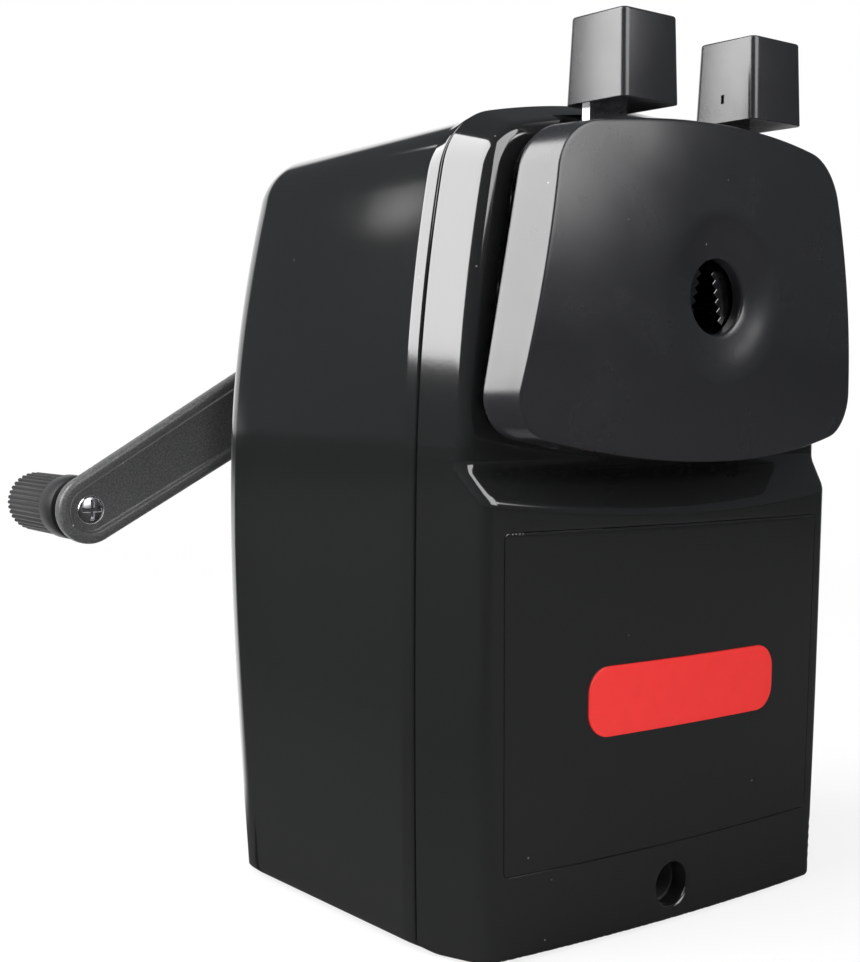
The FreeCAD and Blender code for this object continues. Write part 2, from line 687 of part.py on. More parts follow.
def faceplate():
    dome = Part.makeSphere(DOME_R, V(0, DOME_R - FACE_CROWN, AXIS_Z))
    body = face_prism(0, -FACE_CROWN - OVERCUT, FACE_BACK).common(dome)
    bowl_r = (DIMPLE_R ** 2 + DIMPLE_DEPTH ** 2) / (2 * DIMPLE_DEPTH)
    body = body.cut(Part.makeSphere(bowl_r, V(0, DIMPLE_DEPTH - FACE_CROWN - bowl_r, AXIS_Z)))
    rings = [e for e in body.Edges if abs(e.BoundBox.XMax - e.BoundBox.ZLength / 2) < 1e-3]
    rings = [e for e in rings if e.BoundBox.YLength < 1e-3 and e.BoundBox.XMax < 2 * DIMPLE_R]
    body = body.makeFillet(DIMPLE_BLEND, rings)
    skin = FACE_SKIN - FACE_CROWN + DIMPLE_DEPTH
    hollow = face_prism(FACE_WALL, skin, FACE_BACK + OVERCUT)
    bosses = [bar(FACE_BOSS_R, skin - OVERCUT, PLATE_Y, x, z) for x, z in face_screw_places()]
    body = body.cut(hollow).fuse(bosses)
    cuts = [bar(HOLE_R, -FACE_CROWN - OVERCUT, skin + OVERCUT), jaw_room(RIM_BACK, skin + OVERCUT)]
    for x, z in face_screw_places():
        cuts.append(bar(SCREW_R + TIGHT, skin, PLATE_Y + OVERCUT, x, z))
    return body.cut(cuts).removeSplitter()


def carriage_plate():
    plate = face_prism(PLATE_MARGIN, PLATE_Y, PLATE_BACK)
    low, high = FACE_BOTTOM + PLATE_TRIM, FACE_TOP - PLATE_TRIM
    plate = plate.common(block(-FAR, FAR, PLATE_Y - OVERCUT, PLATE_BACK + OVERCUT, low, high))
    holes = [jaw_room(PLATE_Y - OVERCUT, PLATE_BACK + OVERCUT)]
    for side in (-1, 1):
        holes.append(bar(SCREW_R + HOLE_PLAY, PLATE_Y - OVERCUT, PLATE_BACK + OVERCUT, side * ROD_X))
        holes.append(bar(PIVOT_R, PLATE_Y - OVERCUT, PLATE_BACK + OVERCUT, side * PIVOT_X, PIVOT_Z))
    for x, z in face_screw_places():
        holes.append(bar(SCREW_R + HOLE_PLAY, PLATE_Y - OVERCUT, PLATE_BACK + OVERCUT, x, z))
    return plate.cut(holes)


def faceplate_screws():
    grip = PLATE_THICK + FACE_BOSS_R
    return Part.makeCompound([screw(PLATE_BACK, grip, x, z, -BACK) for x, z in face_screw_places()])


def rod_screws():
    grip = PLATE_THICK + ROD_SCREW_GRIP
    return Part.makeCompound([screw(PLATE_Y, grip, side * ROD_X, AXIS_Z) for side in (-1, 1)])


def guide_rod(side):
    x = side * ROD_X
    shank = bar(ROD_R, PLATE_BACK, ROD_END, x)
    tapped = bar(SCREW_R + TIGHT, PLATE_BACK, PLATE_BACK + ROD_SCREW_GRIP + OVERCUT, x)
    groove = tube(ROD_R + OVERCUT, ROD_R - CLIP_GROOVE, CLIP_Y, CLIP_Y + CLIP_THICK, x)
    return shank.cut([tapped, groove])


def rod_clips():
    clips = []
    for side in (-1, 1):
        x = side * ROD_X
        ring = tube(CLIP_R, ROD_R - CLIP_GROOVE, CLIP_Y, CLIP_Y + CLIP_THICK, x)
        mouth = ROD_R - CLIP_GROOVE
        gap = block(x - mouth, x + mouth, CLIP_Y, CLIP_Y + CLIP_THICK, AXIS_Z - 2 * CLIP_R, AXIS_Z)
        clips.append(ring.cut(gap))
    return Part.makeCompound(clips)


def guide_bushes():
    bushes = []
    for side in (-1, 1):
        x = side * ROD_X
        inner = ROD_R + RUN_PLAY
        sleeve = bar(inner + BUSH_WALL, POCKET_Y, BUSH_BACK, x)
        flange = bar(BUSH_FLANGE_R, BUSH_BACK, BUSH_BACK + BUSH_FLANGE, x)
        bore = bar(inner, POCKET_Y - OVERCUT, BUSH_BACK + BUSH_FLANGE + OVERCUT, x)
        bushes.append(joined(sleeve, flange).cut(bore))
    return Part.makeCompound(bushes)


# Springs: one tube along biarcs, two to each quarter turn

def biarc(p0, t0, p1, t1):
    """Two arcs that leave p0 along t0 and reach p1 along t1."""
    span, both = p1 - p0, t0 + t1
    a = 2 * (1 - t0.dot(t1))
    b = 2 * span.dot(both)
    d = (-b + math.sqrt(b * b + 4 * a * span.dot(span))) / (2 * a)
    knee = (p0 + t0 * d + p1 - t1 * d) * 0.5
    return [bend(p0, t0, knee), bend(p1, t1 * -1, knee)]


def bend(start, tangent, end):
    """Arc from a start point and its tangent to an end point."""
    chord = end - start
    along = chord * (1 / chord.Length)
    cosine = tangent.dot(along)
    aside = tangent - along * cosine
    aside = aside * (1 / aside.Length)
    height = chord.Length / 2 * math.tan(math.acos(cosine) / 2)
    return Part.Arc(start, start + chord * 0.5 + aside * height, end)


def helix_spring(name, start, way, across, length, radius, wire, turns):
    """Coil of round wire that winds about a line; prints its least gap to itself."""
    up = way.cross(across)
    steps = turns * 4
    rise = length - wire

    def place(k):
        turn = math.pi / 2 * k
        run = wire / 2 + rise * k / steps
        return start + way * run + (across * math.cos(turn) + up * math.sin(turn)) * radius

    def heading(k):
        turn = math.pi / 2 * k
        lead = way * (rise / steps)
        round_ = (up * math.cos(turn) - across * math.sin(turn)) * (radius * math.pi / 2)
        return (lead + round_).normalize()

    edges = []
    for k in range(steps):
        for curve in biarc(place(k), heading(k), place(k + 1), heading(k + 1)):
            edges.append(curve.toShape())
    path = Part.Wire(Part.__sortEdges__(edges))
    ring = Part.Wire(Part.makeCircle(wire / 2, place(0), heading(0)))
    coil = path.makePipeShell([ring], True, False)
    points = [place(k / GAP_SAMPLES) for k in range(steps * GAP_SAMPLES + 1)]
    apart = []
    for i, here in enumerate(points):
        apart += [(here - there).Length for there in points[i + 2 * GAP_SAMPLES:]]
    print(name, "least gap", round(min(apart) - wire, 2))
    return Part.Solid(coil) if coil.ShapeType == "Shell" else coil


def return_spring(side):
    start = BUSH_BACK + BUSH_FLANGE
    name = "left_return_spring" if side < 0 else "right_return_spring"
    seat = V(side * ROD_X, start, AXIS_Z)
    return helix_spring(name, seat, BACK, V(1, 0, 0), CLIP_Y - start, SPRING_R, SPRING_WIRE, SPRING_TURNS)


def jaw_spring():
    half = CAP_X - STEM_HALF
    middle = LEVER_Y + LEVER_THICK / 2
    seat = V(-half, middle, JAW_SPRING_Z)
    return helix_spring("jaw_spring", seat, V(1, 0, 0), V(0, 0, 1), 2 * half, JAW_SPRING_R,
                        JAW_SPRING_WIRE, JAW_SPRING_TURNS)


# Levers, drawn on the left and mirrored for the right

def jaw_edge(z):
    """Where the tips of the left jaw's teeth lie at a height."""
    return -JAW_GAP / 2 - (AXIS_Z - z) * JAW_SLOPE


def lever():
    outer = -JAW_GAP / 2 - JAW_WIDTH
    head = JAW_FOOT + JAW_HEIGHT
    stem_top = CAP_Z + STEM_SOCKET
    right, left = -CAP_X + STEM_HALF, -CAP_X - STEM_HALF
    knee = PIVOT_Z + LEVER_EYE_R / 2
    points = [(left, stem_top), (right, stem_top), (right, knee)]
    points += [(jaw_edge(z) - JAW_TOOTH - FIT, z) for z in (head, JAW_FOOT)]
    points += [(outer, JAW_FOOT), (outer, head), (left, PIVOT_Z)]
    arm = prism(points, LEVER_Y, LEVER_BACK)
    eye = bar(LEVER_EYE_R, LEVER_Y, LEVER_BACK, -PIVOT_X, PIVOT_Z)
    hole = bar(PIVOT_R + RUN_PLAY, LEVER_Y - OVERCUT, LEVER_BACK + OVERCUT, -PIVOT_X, PIVOT_Z)
    return joined(arm, eye).cut(hole)


def lever_cap():
    foot = [(-CAP_FOOT_HALF, -CAP_FOOT_DEEP), (CAP_FOOT_HALF, -CAP_FOOT_DEEP)]
    foot += [(-x, -y) for x, y in foot]
    head = [(-CAP_TOP_HALF, -CAP_TOP_HALF), (CAP_TOP_HALF, -CAP_TOP_HALF)]
    head += [(-x, -y) for x, y in head]
    wires = []
    for corners, z in ((foot, CAP_Z), (head, CAP_Z + CAP_HEIGHT)):
        ring = [V(x - CAP_X, y + CAP_Y, z) for x, y in corners]
        wires.append(Part.makePolygon(ring + ring[:1]))
    cap = Part.makeLoft(wires, True, True)
    cap = cap.makeFillet(CAP_EDGE_R, cap.Edges)
    half = STEM_HALF + TIGHT
    socket = block(-CAP_X - half, -CAP_X + half, LEVER_Y - TIGHT, LEVER_BACK + TIGHT,
                   CAP_Z - OVERCUT, CAP_Z + STEM_SOCKET + FIT)
    return cap.cut(socket)


def jaw():
    """Toothed block on the front of the lever, just behind the pencil hole."""
    outer = -JAW_GAP / 2 - JAW_WIDTH
    pitch = JAW_HEIGHT / JAW_TEETH
    points = [(outer, JAW_FOOT)]
    for k in range(JAW_TEETH):
        root, tip = JAW_FOOT + pitch * k, JAW_FOOT + pitch * (k + 0.5)
        points.append((jaw_edge(root) - JAW_TOOTH, root))
        points.append((jaw_edge(tip), tip))
    head = JAW_FOOT + JAW_HEIGHT
    points += [(jaw_edge(head) - JAW_TOOTH, head), (outer, head)]
    return prism(points, JAW_FRONT, LEVER_Y)


def lever_pivots():
    pins = []
    for side in (-1, 1):
        x = side * PIVOT_X
        back = LEVER_BACK + FIT
        shank = bar(PIVOT_R, PLATE_Y, back + PIVOT_HEAD, x, PIVOT_Z)
        pins.append(joined(shank, bar(PIVOT_HEAD_R, back, back + PIVOT_HEAD, x, PIVOT_Z)))
    return Part.makeCompound(pins)


# Gears, cutter and carrier

def tilted(shape):
    """Place a shape drawn along z from the apex on to the cutter's axis."""
    forward = V(0, -math.cos(TILT), math.sin(TILT))
    moved = shape.copy()
    moved.Placement = FreeCAD.Placement(V(0, APEX_Y, AXIS_Z), FreeCAD.Rotation(V(0, 0, 1), forward))
    return moved


def tooth_points(count, pitch_r, inner_r, outer_r, inner_half, outer_half, turn):
    """Star polygon: lobes with the given half widths at two radii."""
    points = []
    for k in range(count):
        middle = turn + 2 * math.pi * k / count
        for radius, half in ((inner_r, -inner_half), (outer_r, -outer_half), (outer_r, outer_half),
                             (inner_r, inner_half)):
            angle = middle + half / pitch_r
            points.append((radius * math.cos(angle), radius * math.sin(angle)))
    return points


def gear_star(distance, teeth, slope, internal):
    """Tooth outline at a distance from the apex; lobes are the ring's gaps when internal."""
    pitch_r = distance * slope
    module = 2 * pitch_r / teeth
    lean = math.tan(math.radians(TOOTH_FLANK)) * module
    play = BACKLASH / 4 * (1 if internal else -1)
    half = math.pi * module / 4 + play
    inner, outer = (TOOTH_TIP, TOOTH_ROOT) if internal else (TOOTH_ROOT, TOOTH_TIP)
    return tooth_points(teeth, pitch_r, pitch_r - inner * module, pitch_r + outer * module,
                        half + inner * lean, half - outer * lean, math.pi / 2)


def loft_rings(rings):
    """Ruled solid through closed rings of points."""
    wires = [Part.makePolygon(ring + ring[:1]) for ring in rings]
    return Part.makeLoft(wires, True, True)


def ring_gear():
    body = bar(RING_OUTER_R, RING_FRONT, RING_BACK)
    lugs = [bar(GEAR_LUG_R, RING_FRONT, RING_WEB_BACK, x, z) for x, z in gear_lug_places()]
    body = body.fuse(lugs)
    rings = []
    for y in (RING_WEB_BACK, RING_BACK + OVERCUT):
        star = gear_star(APEX_Y - y, RING_TEETH, RING_SLOPE, True)
        rings.append([V(x, y, AXIS_Z + z) for x, z in star])
    cuts = [loft_rings(rings), bar(BEARING_R, RING_FRONT - OVERCUT, RING_WEB_BACK + OVERCUT)]
    for x, z in gear_lug_places():
        cuts.append(bar(SCREW_R + HOLE_PLAY, RING_FRONT - OVERCUT, RING_WEB_BACK + OVERCUT, x, z))
    return body.cut(cuts).removeSplitter()


def gear_screws():
    grip = SCREW_GRIP - FIT
    return Part.makeCompound([screw(RING_WEB_BACK, grip, x, z, -BACK) for x, z in gear_lug_places()])


def front_bearing():
    return tube(BEARING_R, HUB_R + RUN_PLAY, RING_FRONT, RING_WEB_BACK)


def cutter_pinion():
    rings = []
    for distance in (PINION_START, PINION_END):
        star = gear_star(distance, PINION_TEETH, PINION_SLOPE, False)
        rings.append([V(x, y, distance) for x, y in star])
    gear = loft_rings(rings)
    sleeve = Part.makeCylinder(SLEEVE_R, SLEEVE_LENGTH + OVERCUT, V(0, 0, CUTTER_END))
    bore = Part.makeCylinder(AXLE_R + RUN_PLAY, FAR, V(0, 0, 0))
    return tilted(joined(gear, sleeve).cut(bore))


def helical_cutter():
    corners = ((0, CUTTER_R), (LAND_SHARE, CUTTER_R), (FLUTE_SHARE, CUTTER_R - FLUTE_DEPTH))
    rings = []
    for station in range(CUTTER_STATIONS + 1):
        share = station / CUTTER_STATIONS
        twist = math.radians(CUTTER_TWIST) * share
        ring = []
        for k in range(CUTTER_FLUTES):
            for part, radius in corners:
                angle = twist + 2 * math.pi * (k + part) / CUTTER_FLUTES
                height = CUTTER_START + CUTTER_LENGTH * share
                ring.append(V(radius * math.cos(angle), radius * math.sin(angle), height))
        rings.append(ring)
    bore = Part.makeCylinder(AXLE_R + RUN_PLAY, FAR, V(0, 0, 0))
    return tilted(loft_rings(rings).cut(bore))


def cutter_axle():
    start = CUTTER_START - REAR_WEB
    shank = Part.makeCylinder(AXLE_R, AXLE_FRONT - start, V(0, 0, start))
    head = Part.makeCylinder(AXLE_HEAD_R, AXLE_HEAD, V(0, 0, AXLE_FRONT - AXLE_HEAD))
    return tilted(joined(shank, head))


def cutter_carrier():
    cage = bar(CAGE_R, CAGE_FRONT, CAGE_REAR)
    rib = tube(CAGE_R, HUB_BORE, RING_WEB_BACK + RUN_GAP, CAGE_FRONT + OVERCUT)
    inner_rib = tube(HUB_R, HUB_BORE, HUB_FRONT, CAGE_FRONT + OVERCUT)
    below = block(-FAR, FAR, -FAR, FAR, AXIS_Z - FAR, AXIS_Z)
    hub = tube(HUB_R, HUB_BORE, HUB_FRONT, RING_WEB_BACK + FIT)
    body = joined(cage, rib.common(below), inner_rib.common(below), hub)
    mouth_seat = V(0, CAGE_FRONT - OVERCUT, AXIS_Z)
    point = Part.makeCone(HUB_BORE, CAGE_POINT_R, TIP_Y - CAGE_FRONT + 2 * OVERCUT, mouth_seat, BACK)
    room = CUTTER_R + RUN_GAP
    length = CUTTER_LENGTH + 2 * RUN_GAP
    pocket = Part.makeCylinder(room, length, V(0, 0, CUTTER_START - RUN_GAP))
    mouth = Part.makeBox(2 * room, 2 * CAGE_R, length, V(-room, 0, CUTTER_START - RUN_GAP))
    sleeve_hole = Part.makeCylinder(SLEEVE_R + RUN_PLAY, SLEEVE_LENGTH + HUB_R, V(0, 0, CUTTER_END))
    axle_hole = Part.makeCylinder(AXLE_R, REAR_WEB + OVERCUT, V(0, 0, CUTTER_START - REAR_WEB))
    shaft_hole = bar(SHAFT_R, SHAFT_START, CAGE_REAR + OVERCUT)
    cuts = [tilted(s) for s in (pocket, mouth, sleeve_hole, axle_hole)]
    return body.cut(cuts + [point, shaft_hole]).removeSplitter()


# Shaft, crank and knob

def rear_bearing():
    inner = SHAFT_R + RUN_PLAY
    sleeve = bar(inner + REAR_BEARING_WALL, REAR_FLANGE_Y, BOSS_BACK)
    flange = bar(REAR_FLANGE_R, REAR_FLANGE_Y, INNER_BACK - REAR_FLANGE)
    return joined(sleeve, flange).cut(bar(inner, REAR_FLANGE_Y - OVERCUT, BOSS_BACK + OVERCUT))


def square_bar(end):
    """Square end of the shaft, which turns the crank arm."""
    low, high = AXIS_Z - SQUARE_HALF, AXIS_Z + SQUARE_HALF
    return block(-SQUARE_HALF, SQUARE_HALF, SHOULDER_Y - OVERCUT, end, low, high)


def drive_shaft():
    round_part = bar(SHAFT_R, SHAFT_START, SHOULDER_Y)
    square = square_bar(CRANK_BACK)
    stud = bar(STUD_R, CRANK_BACK - OVERCUT, CRANK_BACK + STUD_LENGTH)
    return joined(round_part, square, stud)


def thrust_washer():
    return tube(WASHER_R, SHAFT_R + RUN_PLAY, WASHER_Y, SHOULDER_Y)


def crank_nut():
    corner_r = NUT_FLATS / 2 / math.cos(math.pi / 6)
    points = []
    for k in range(6):
        turn = math.pi / 3 * k
        points.append((corner_r * math.cos(turn), AXIS_Z + corner_r * math.sin(turn)))
    nut = prism(points, CRANK_BACK, CRANK_BACK + NUT_HEIGHT)
    return nut.cut(bar(STUD_R, CRANK_BACK - OVERCUT, CRANK_BACK + FAR))


def arm_prism(shrink, start, end):
    """Tapered bar with round ends, from the shaft to the knob, drawn in by shrink."""
    hub_r, end_r = CRANK_HUB_R - shrink, CRANK_END_R - shrink
    lean = math.asin((hub_r - end_r) / CRANK_LENGTH)
    ux, uz = math.sin(lean), math.cos(lean)
    hub = [(hub_r * ux, s * hub_r * uz) for s in (1, -1)]
    tip = [(CRANK_LENGTH + end_r * ux, s * end_r * uz) for s in (1, -1)]

    def at(p):
        return V(p[0], start, p[1])

    edges = [
        Part.makeLine(at(hub[0]), at(tip[0])),
        Part.Arc(at(tip[0]), at((CRANK_LENGTH + end_r, 0)), at(tip[1])).toShape(),
        Part.makeLine(at(tip[1]), at(hub[1])),
        Part.Arc(at(hub[1]), at((-hub_r, 0)), at(hub[0])).toShape(),
    ]
    solid = Part.Face(Part.Wire(edges)).extrude(V(0, end - start, 0))
    solid.rotate(V(0, 0, 0), BACK, 180 - CRANK_DROP)
    solid.translate(V(0, 0, AXIS_Z))
    return solid


def crank_arm():
    arm = arm_prism(0, CRANK_Y, CRANK_BACK)
    arm = arm.cut(arm_prism(CRANK_RIM, CRANK_Y - OVERCUT, CRANK_Y + CRANK_RECESS))
    hub = bar(CRANK_BOSS_R, SHOULDER_Y, CRANK_Y + CRANK_RECESS + OVERCUT)
    square = square_bar(CRANK_BACK + OVERCUT)
    pin = bar(KNOB_PIN_R, CRANK_Y - OVERCUT, CRANK_BACK + OVERCUT, KNOB_X, KNOB_Z)
    return joined(arm, hub).cut([square, pin])


def knob_screw():
    seat = CRANK_Y + CRANK_RECESS
    head = bar(KNOB_HEAD_R, seat - KNOB_HEAD, seat, KNOB_X, KNOB_Z)
    shank = bar(KNOB_PIN_R, seat - OVERCUT, KNOB_BACK, KNOB_X, KNOB_Z)
    peened = bar(PEEN_R, KNOB_BACK - PEEN, KNOB_BACK, KNOB_X, KNOB_Z)
    top = seat - KNOB_HEAD
    cross = []
    for half_x, half_z in ((CROSS_HALF, CROSS_REACH), (CROSS_REACH, CROSS_HALF)):
        cross.append(block(KNOB_X - half_x, KNOB_X + half_x, top - OVERCUT, top + CROSS_DEPTH,
                           KNOB_Z - half_z, KNOB_Z + half_z))
    return joined(head, shank, peened).cut(cross)


def rib_ring(y, crest):
    """Closed ring of points round the knob's ribbed grip at y."""
    root = crest - KNOB_RIB
    corners = ((0, crest), (RIB_TOP_SHARE, crest), (RIB_FALL_SHARE, root), (RIB_ROOT_SHARE, root))
    pitch = 2 * math.pi / KNOB_RIBS
    ring = []
    for k in range(KNOB_RIBS):
        for share, radius in corners:
            turn = pitch * (k + share)
            ring.append(V(KNOB_X + radius * math.cos(turn), y, KNOB_Z + radius * math.sin(turn)))
    return ring


def crank_knob():
    grip = loft_rings([rib_ring(GRIP_FRONT, KNOB_R), rib_ring(KNOB_BACK, KNOB_TIP_R)])
    collar = bar(KNOB_COLLAR_R, COLLAR_FRONT, GRIP_FRONT, KNOB_X, KNOB_Z)
    neck = bar(KNOB_NECK_R, KNOB_FRONT, COLLAR_FRONT + OVERCUT, KNOB_X, KNOB_Z)
    bore = bar(KNOB_PIN_R + RUN_PLAY, KNOB_FRONT - OVERCUT, KNOB_BACK + OVERCUT, KNOB_X, KNOB_Z)
    counterbore = bar(PEEN_R + FIT, KNOB_BACK - PEEN - FIT, KNOB_BACK + OVERCUT, KNOB_X, KNOB_Z)
    return joined(grip, collar, neck).cut([bore, counterbore])


def pieces():
    """Every piece by name."""
    left_lever, left_cap, left_jaw = lever(), lever_cap(), jaw()
    return {
        "rear_housing": rear_housing(),
        "front_frame": front_frame(),
        "base_plate": base_plate(),
        "base_pad": base_pad(),
        "base_screws": base_screws(),
        "housing_screws": housing_screws(),
        "ring_gear": ring_gear(),
        "gear_screws": gear_screws(),
        "front_bearing": front_bearing(),
        "rear_bearing": rear_bearing(),
        "guide_bushes": guide_bushes(),
        "faceplate": faceplate(),
        "carriage_plate": carriage_plate(),
        "faceplate_screws": faceplate_screws(),
        "rod_screws": rod_screws(),
        "left_guide_rod": guide_rod(-1),
        "right_guide_rod": guide_rod(1),
        "rod_clips": rod_clips(),
        "lever_pivots": lever_pivots(),
        "left_return_spring": return_spring(-1),
        "right_return_spring": return_spring(1),
        "jaw_spring": jaw_spring(),
        "left_lever": left_lever,
        "left_lever_cap": left_cap,
        "left_jaw": left_jaw,
        "right_lever": mirrored(left_lever),
        "right_lever_cap": mirrored(left_cap),
        "right_jaw": mirrored(left_jaw),
        "shavings_drawer": shavings_drawer(),
        "drawer_label": drawer_label(),
        "cutter_carrier": cutter_carrier(),
        "cutter_axle": cutter_axle(),
        "drive_shaft": drive_shaft(),
        "thrust_washer": thrust_washer(),
        "crank_arm": crank_arm(),
        "crank_nut": crank_nut(),
        "knob_screw": knob_screw(),
        "crank_knob": crank_knob(),
        "helical_cutter": helical_cutter(),
        "cutter_pinion": cutter_pinion(),
    }


def export():
    os.makedirs("parts", exist_ok=True)
    for name, shape in pieces().items():
        placed = shape.copy()
        placed.translate(V(0, -CASE_DEPTH / 2, PAD_PROUD))
        placed.exportStep("parts/" + name + ".step")
        print(name, placed.isValid(), len(placed.Solids), round(placed.Volume, 2))


export()
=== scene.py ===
import json
import math

import bmesh
import bpy
import numpy as np
from mathutils import Matrix, Vector
from mathutils.geometry import delaunay_2d_cdt


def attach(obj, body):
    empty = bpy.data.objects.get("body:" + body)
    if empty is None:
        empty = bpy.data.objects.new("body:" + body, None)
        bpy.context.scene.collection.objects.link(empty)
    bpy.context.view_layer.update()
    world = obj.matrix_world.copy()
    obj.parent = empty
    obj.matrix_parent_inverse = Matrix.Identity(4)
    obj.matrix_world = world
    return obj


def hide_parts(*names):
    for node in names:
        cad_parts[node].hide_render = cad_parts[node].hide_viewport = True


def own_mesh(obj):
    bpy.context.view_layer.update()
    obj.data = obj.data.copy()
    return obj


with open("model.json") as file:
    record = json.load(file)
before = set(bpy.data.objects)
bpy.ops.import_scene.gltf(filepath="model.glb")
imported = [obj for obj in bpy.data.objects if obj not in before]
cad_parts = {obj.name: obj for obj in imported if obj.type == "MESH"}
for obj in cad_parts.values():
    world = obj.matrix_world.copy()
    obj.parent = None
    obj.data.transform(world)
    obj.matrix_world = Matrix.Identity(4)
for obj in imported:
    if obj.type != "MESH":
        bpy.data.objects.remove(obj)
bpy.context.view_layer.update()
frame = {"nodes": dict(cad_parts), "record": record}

# Sizes in millimetres: x to the right, y from front to back, z up from 1 mm above the case's lower edge

MM = 0.001

# Case
CASE_DEPTH = 69.0
CASE_BOTTOM = -1.0
PAD_PROUD = 1.5
BELLY_HALF = 43.1
BELLY_Z = 72.0
LOWER_R = 2000.0
FOOT_R = 2.0
FOOT_POINTS = 8
SHOULDER_R = 252.0
CROWN_Z = 129.5
CROWN_R = 143.0
CORNER_R = 11.0
WALL = 2.2
AXIS_Z = 98.8
SEAM_Y = 13.15
STRIP_LEAN = math.radians(21.0)
STRIP_SLOPE = math.tan(STRIP_LEAN)
EDGE_R = 2.6
EDGE_IN = EDGE_R * math.tan(math.pi / 4 - STRIP_LEAN / 2)
EDGE_OUT = EDGE_IN * math.sin(STRIP_LEAN)
BOW_R = 400.0
FRONT_WALL = 3.2
LEDGE_Z = 65.6
LEDGE_RISE = 7.0
SETBACK = 5.6
POCKET_Y = 8.2
UPPER_BACK = 10.6
SHAFT_HOLE_R = 16.5
ROD_HOLE_R = 3.26
ROD_X = 27.0
NOTCH_X = 22.0
PIVOT_Z = 117.0
CLAMP_Z = 4.8
CLAMP_R = 3.5

# Rear housing
FLARE = 0.8
FLARE_Y = 15.45
TOP_LEAD = 0.9
TOP_DROP = 1.6
TOP_SLOPE = 0.036
BACK_R = 10.0
BACK_TIGHT = 5.5
TIGHT_LOW = 17.0
TIGHT_HIGH = 115.0
INNER_BACK = 66.8
BOSS_R = 9.5
BOSS_BACK = 72.0
BOSS_FRONT = 65.2
BORE_R = 6.06
SCREW_PLACES = [(-27.5, 111.0), (27.5, 111.0), (-30.0, 69.5), (30.0, 69.5)]

# Groove behind the seam: how far back its points lie, how far they are drawn in, and points between
GROOVE_BACK = (0, 0.08, 0.4, 0.48, 0.56, 0.68)
GROOVE_IN = (0.6, 0.42, 0.42, 0.2, 0.06, 0)
GROOVE_BETWEEN = (0.24, 0.44, 0.52, 0.62)

# Depths of the housing's outlines behind the groove, in runs of first, past the last and step
OUTLINE_RUNS = [(14.0, 15.3, 0.2), (15.3, 15.7, 0.05), (15.8, 17, 0.3), (17, 30, 0.8), (30, 59, 4.0)]

# Faceplate
FACE_LEAN = math.radians(9.9)
FACE_HALF = 35.0
FACE_TOP = 125.3
FACE_TOP_R = 165.0
FACE_BOTTOM = 73.3
FACE_BOTTOM_R = 152.0
FACE_TOP_CORNER = 9.0
FACE_BOTTOM_CORNER = 6.6
FACE_BACK = 2.6
FACE_FLARE = 0.053
FACE_CROWN = 8.4
DOME_R = 164.0
HOLE_R = 5.8
DIMPLE_DEPTH = 2.5
BOWL_R = 35.05
RIM_BACK = -4.4

# Drawer, label and push caps
DRAWER_HALF = 34.5
DRAWER_WIDENING = 1.0
DRAWER_LOW = 12.05
DRAWER_HIGH = 62.9
MOUTH_GAP = 0.3
MOUTH_R = 1.0
LABEL_LEFT = -19.2
LABEL_RIGHT = 23.8
LABEL_LOW = 30.8
LABEL_HIGH = 41.8
LABEL_R = 4.0
LABEL_THICK = 0.3
CAP_X = 14.4
CAP_Y = 0.85
CAP_LOW = 127.25
CAP_HIGH = 140.4
CAP_R = 1.2
CAP_SLIT = ((8.2, 0.7, 130.3), (8.8, 1.4, 131.7))

# Crank and knob
CRANK_Y = 74.8
CRANK_BACK = 77.3
CRANK_LENGTH = 74.8
CRANK_HUB_R = 7.55
CRANK_END_R = 5.9
CRANK_TURN = math.radians(29.1)
KNOB_X = -CRANK_LENGTH * math.cos(CRANK_TURN)
KNOB_Z = AXIS_Z - CRANK_LENGTH * math.sin(CRANK_TURN)
PIN_HOLE_R = 1.66
NECK_R = 3.5
COLLAR_R = 5.6
KNOB_FRONT = 77.6
COLLAR_FRONT = 79.3
GRIP_FRONT = 84.3
KNOB_BACK = 98.3


# Shapes in the front view

def arc(centre, radius, first, last, count):
    """Points of an arc, from one angle to another."""
    turn = np.linspace(first, last, count)
    return np.stack([centre[0] + radius * np.cos(turn), centre[1] + radius * np.sin(turn)], axis=1)


def ring(centre, radius, count):
    """Closed circle of points."""
    return arc(centre, radius, 0, 2 * math.pi, count + 1)[:-1]


def rounded_rectangle(x0, x1, z0, z1, radius, count=8):
    """Closed rectangle of points with round corners."""
    corners = [(x1 - radius, z0 + radius), (x1 - radius, z1 - radius)]
    corners += [(x0 + radius, z1 - radius), (x0 + radius, z0 + radius)]
    quarter = math.pi / 2
    parts = [arc(c, radius, (k - 1) * quarter, k * quarter, count) for k, c in enumerate(corners)]
    return np.concatenate(parts)


def dense(loop, longest=1.5):
    """Closed loop with extra points, so that no side is long."""
    parts = []
    for first, last in zip(loop, np.roll(loop, -1, axis=0)):
        count = max(1, math.ceil(np.linalg.norm(last - first) / longest))
        parts.append(np.linspace(first, last, count + 1)[:-1])
    return np.concatenate(parts)


def circles_meet(c0, r0, c1, r1):
    """Right-hand meeting point of two circles."""
    dx, dz = c1[0] - c0[0], c1[1] - c0[1]
    gap = math.hypot(dx, dz)
    along = (r0 ** 2 - r1 ** 2 + gap ** 2) / (2 * gap)
    aside = math.sqrt(r0 ** 2 - along ** 2)
    foot = (c0[0] + along * dx / gap, c0[1] + along * dz / gap)
    options = [(foot[0] + s * aside * dz / gap, foot[1] - s * aside * dx / gap) for s in (1, -1)]
    return max(options)


def bearing(centre, point):
    """Angle at which a point is seen from a centre."""
    return math.atan2(point[1] - centre[1], point[0] - centre[0])


